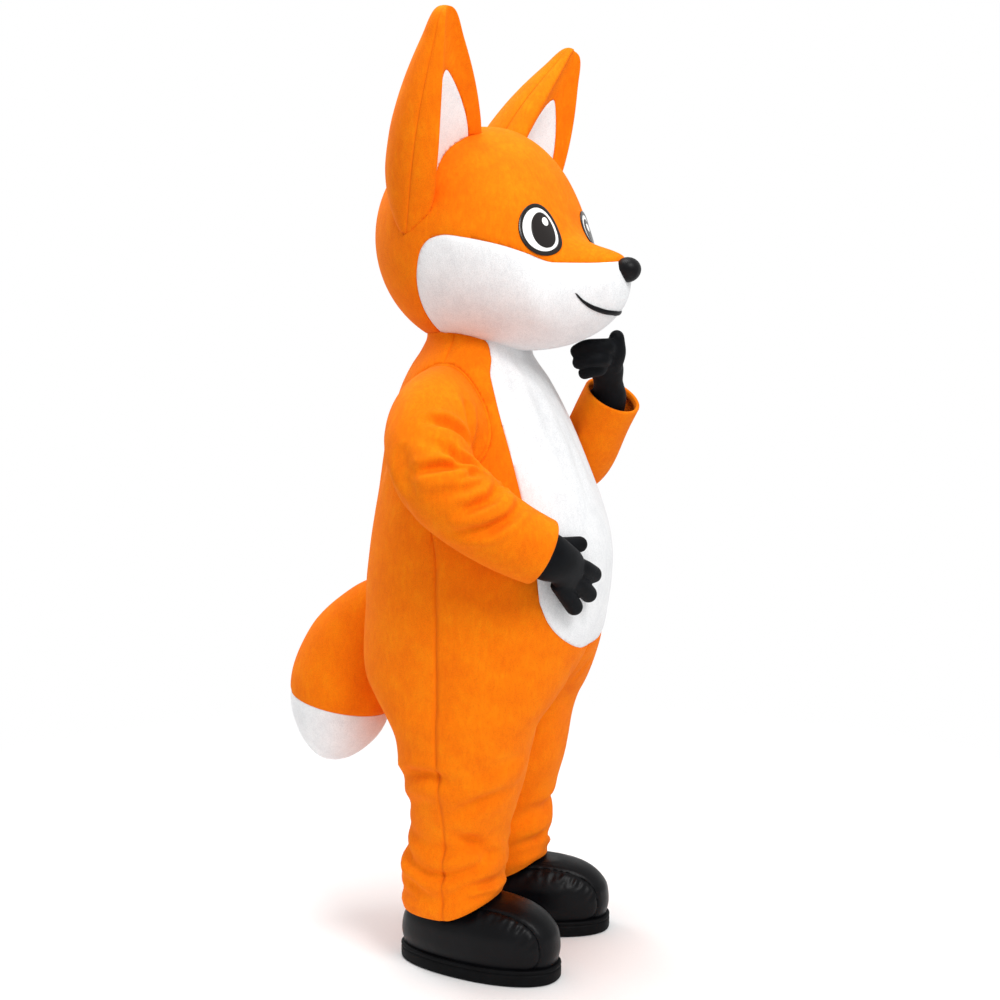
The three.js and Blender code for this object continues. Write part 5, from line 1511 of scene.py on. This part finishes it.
def boot(row):
    toe, heel, half = (smoothed(BOOT, "z", name) for name in ("toe", "heel", "half"))
    low, high = BOOT[0]["z"], BOOT[-1]["z"]
    levels = [
        low + (high - low) * ease(0, 1, (i / BOOT_LEVELS) ** 0.9) for i in range(BOOT_LEVELS + 1)
    ]
    upper = rings_of(
        [boot_outline(toe(z), heel(z), half(z), z, 0) for z in levels],
        BOOT_AROUND, place(0, -BOOT_TOP[1], BOOT_TOP[0]),
    )
    soften(upper, 8)

    def off_ankle(place_mm):
        x, y, z = place_mm
        return hypot(x, y - ANKLE["back"]) - ANKLE["radius"] if z > 100 else 50.0

    cut_along(upper, off_ankle)
    opened = kept_where(upper, lambda p: off_ankle(p) > 0)
    upper.free()
    shape = BVHTree.FromBMesh(opened)
    cut_along(opened, vamp_edge)
    vamp = kept_where(opened, lambda p: vamp_edge(p) <= 0)
    quarter = kept_where(opened, lambda p: vamp_edge(p) > 0)
    opened.free()
    sew([vamp, quarter], depth=2.6, width=4.5)
    puckers = puckers_on(shape)
    press(quarter, puckers)
    press(vamp, [(depth * VAMP_PUCKER_SHARE, width, path) for depth, width, path in puckers])
    foot = [BOOT[0][name] + SOLE_MARGIN for name in ("toe", "heel", "half")]
    sole = rings_of(
        [boot_outline(*foot, z, out) for z, out in SOLE_EDGE], BOOT_AROUND, place(0, -30, SOLE_HEIGHT)
    )
    sole.verts.ensure_lookup_table()
    sole.faces.new(sole.verts[:BOOT_AROUND])
    bmesh.ops.recalc_face_normals(sole, faces=sole.faces)
    turned = Matrix.Rotation(radians(row["turn"]), 4, "Z")
    stand = Matrix.Translation(place(row["x"], row["y"], FLOOR)) @ turned
    for bm, name, material, slot, wall in (
        (vamp, "boot_vamp", LEATHER, "boot_leather", BOOT_WALL),
        (quarter, "boot_quarter", LEATHER, "boot_leather", BOOT_WALL),
        (sole, "boot_sole", RUBBER, "sole_rubber", 0),
    ):
        bmesh.ops.transform(bm, matrix=stand, verts=bm.verts)
        piece = finish_piece(
            bm, f"{name}_{row['name']}_made", material, [f"{name}_{row['name']}"], wall
        )


# Stage: a pale floor that fades into a white surround, soft lamps and the camera.
FLOOR_REACH = 6
WORLD_LIGHT = 0.72  # of what the white surround shows to the camera


def stage():
    material, tree, surface, here = new_material("matt_white_paper")
    off_feet = add(
        tree, "ShaderNodeVectorMath", {0: here, 1: (0.03, 0, FLOOR * MM)}, operation="SUBTRACT"
    ).outputs[0]
    reach = add(tree, "ShaderNodeVectorMath", {0: off_feet}, operation="LENGTH").outputs["Value"]
    fill(tree, surface, {
        "Base Color": ramp(tree, noise_at(tree, here, 3, 2), [(0.2, "#F6F6F6"), (0.8, "#FAFAFA")]),
        "Roughness": 0.9,
        "Specular IOR Level": 0.1,
        "Alpha": ranged(tree, reach, (0.5, 2.4), (1, 0)),
    })
    bm = bmesh.new()
    bmesh.ops.create_grid(bm, x_segments=2, y_segments=2, size=FLOOR_REACH)
    bmesh.ops.translate(bm, vec=(0, 0, FLOOR * MM), verts=bm.verts)
    mesh = bpy.data.meshes.new("paper_floor")
    bm.to_mesh(mesh)
    bm.free()
    floor = bpy.data.objects.new("paper_floor", mesh)
    floor.data.materials.append(material)
    bpy.context.scene.collection.objects.link(floor)
    world = bpy.data.worlds.new("soft_daylight")
    world.use_nodes = True
    nodes = world.node_tree
    sky = nodes.nodes["Background"]
    sky.inputs["Color"].default_value = (1, 1, 1, 1)
    seen = add(nodes, "ShaderNodeLightPath").outputs["Is Camera Ray"]
    fill(nodes, sky, {"Strength": ranged(nodes, seen, (0, 1), (WORLD_LIGHT, 1))})
    bpy.context.scene.world = world
    for name, spot, aim, size, power in (
        ("key_light", (-2.6, -2.9, 2.9), (0, 0, -0.4), 1.6, 125),
        ("top_light", (-0.3, 0.2, 3.4), (0, 0, -0.5), 2.0, 90),
        ("rim_light", (1.6, 3.2, 1.6), (0, 0, -0.3), 1.6, 40),
    ):
        lamp = bpy.data.lights.new(name, "AREA")
        lamp.size = size
        lamp.energy = power
        holder = bpy.data.objects.new(name, lamp)
        holder.location = spot
        holder.rotation_euler = (Vector(aim) - Vector(spot)).to_track_quat("-Z", "Y").to_euler()
        bpy.context.scene.collection.objects.link(holder)


CAMERA_PLACE = (-3181, -1200, -22)
CAMERA_AIM = (14, -38, -354)
CAMERA_LENS = 55.6


def camera():
    lens = bpy.data.cameras.new("photo_camera")
    lens.lens = CAMERA_LENS
    lens.sensor_width = 36
    lens.clip_end = 60
    eye_point, aim = place(*CAMERA_PLACE), place(*CAMERA_AIM)
    holder = bpy.data.objects.new("photo_camera", lens)
    holder.location = eye_point
    holder.rotation_euler = (aim - eye_point).to_track_quat("-Z", "Y").to_euler()
    bpy.context.scene.collection.objects.link(holder)
    bpy.context.scene.camera = holder
    bpy.context.scene.view_settings.view_transform = "Standard"


camera()
stage()
trunk_skin = suit()
head_skin = head()
off_head = beyond(head_skin)
for ear_side, ear_name in ((1, "left"), (-1, "right")):
    ear(ear_side, ear_name, off_head)
    eye(head_skin, ear_side, ear_name)
mouth(head_skin)
nose()
tail(beyond(trunk_skin))
glove("left")
glove("right")
for boot_row in BOOTS:
    boot(boot_row)
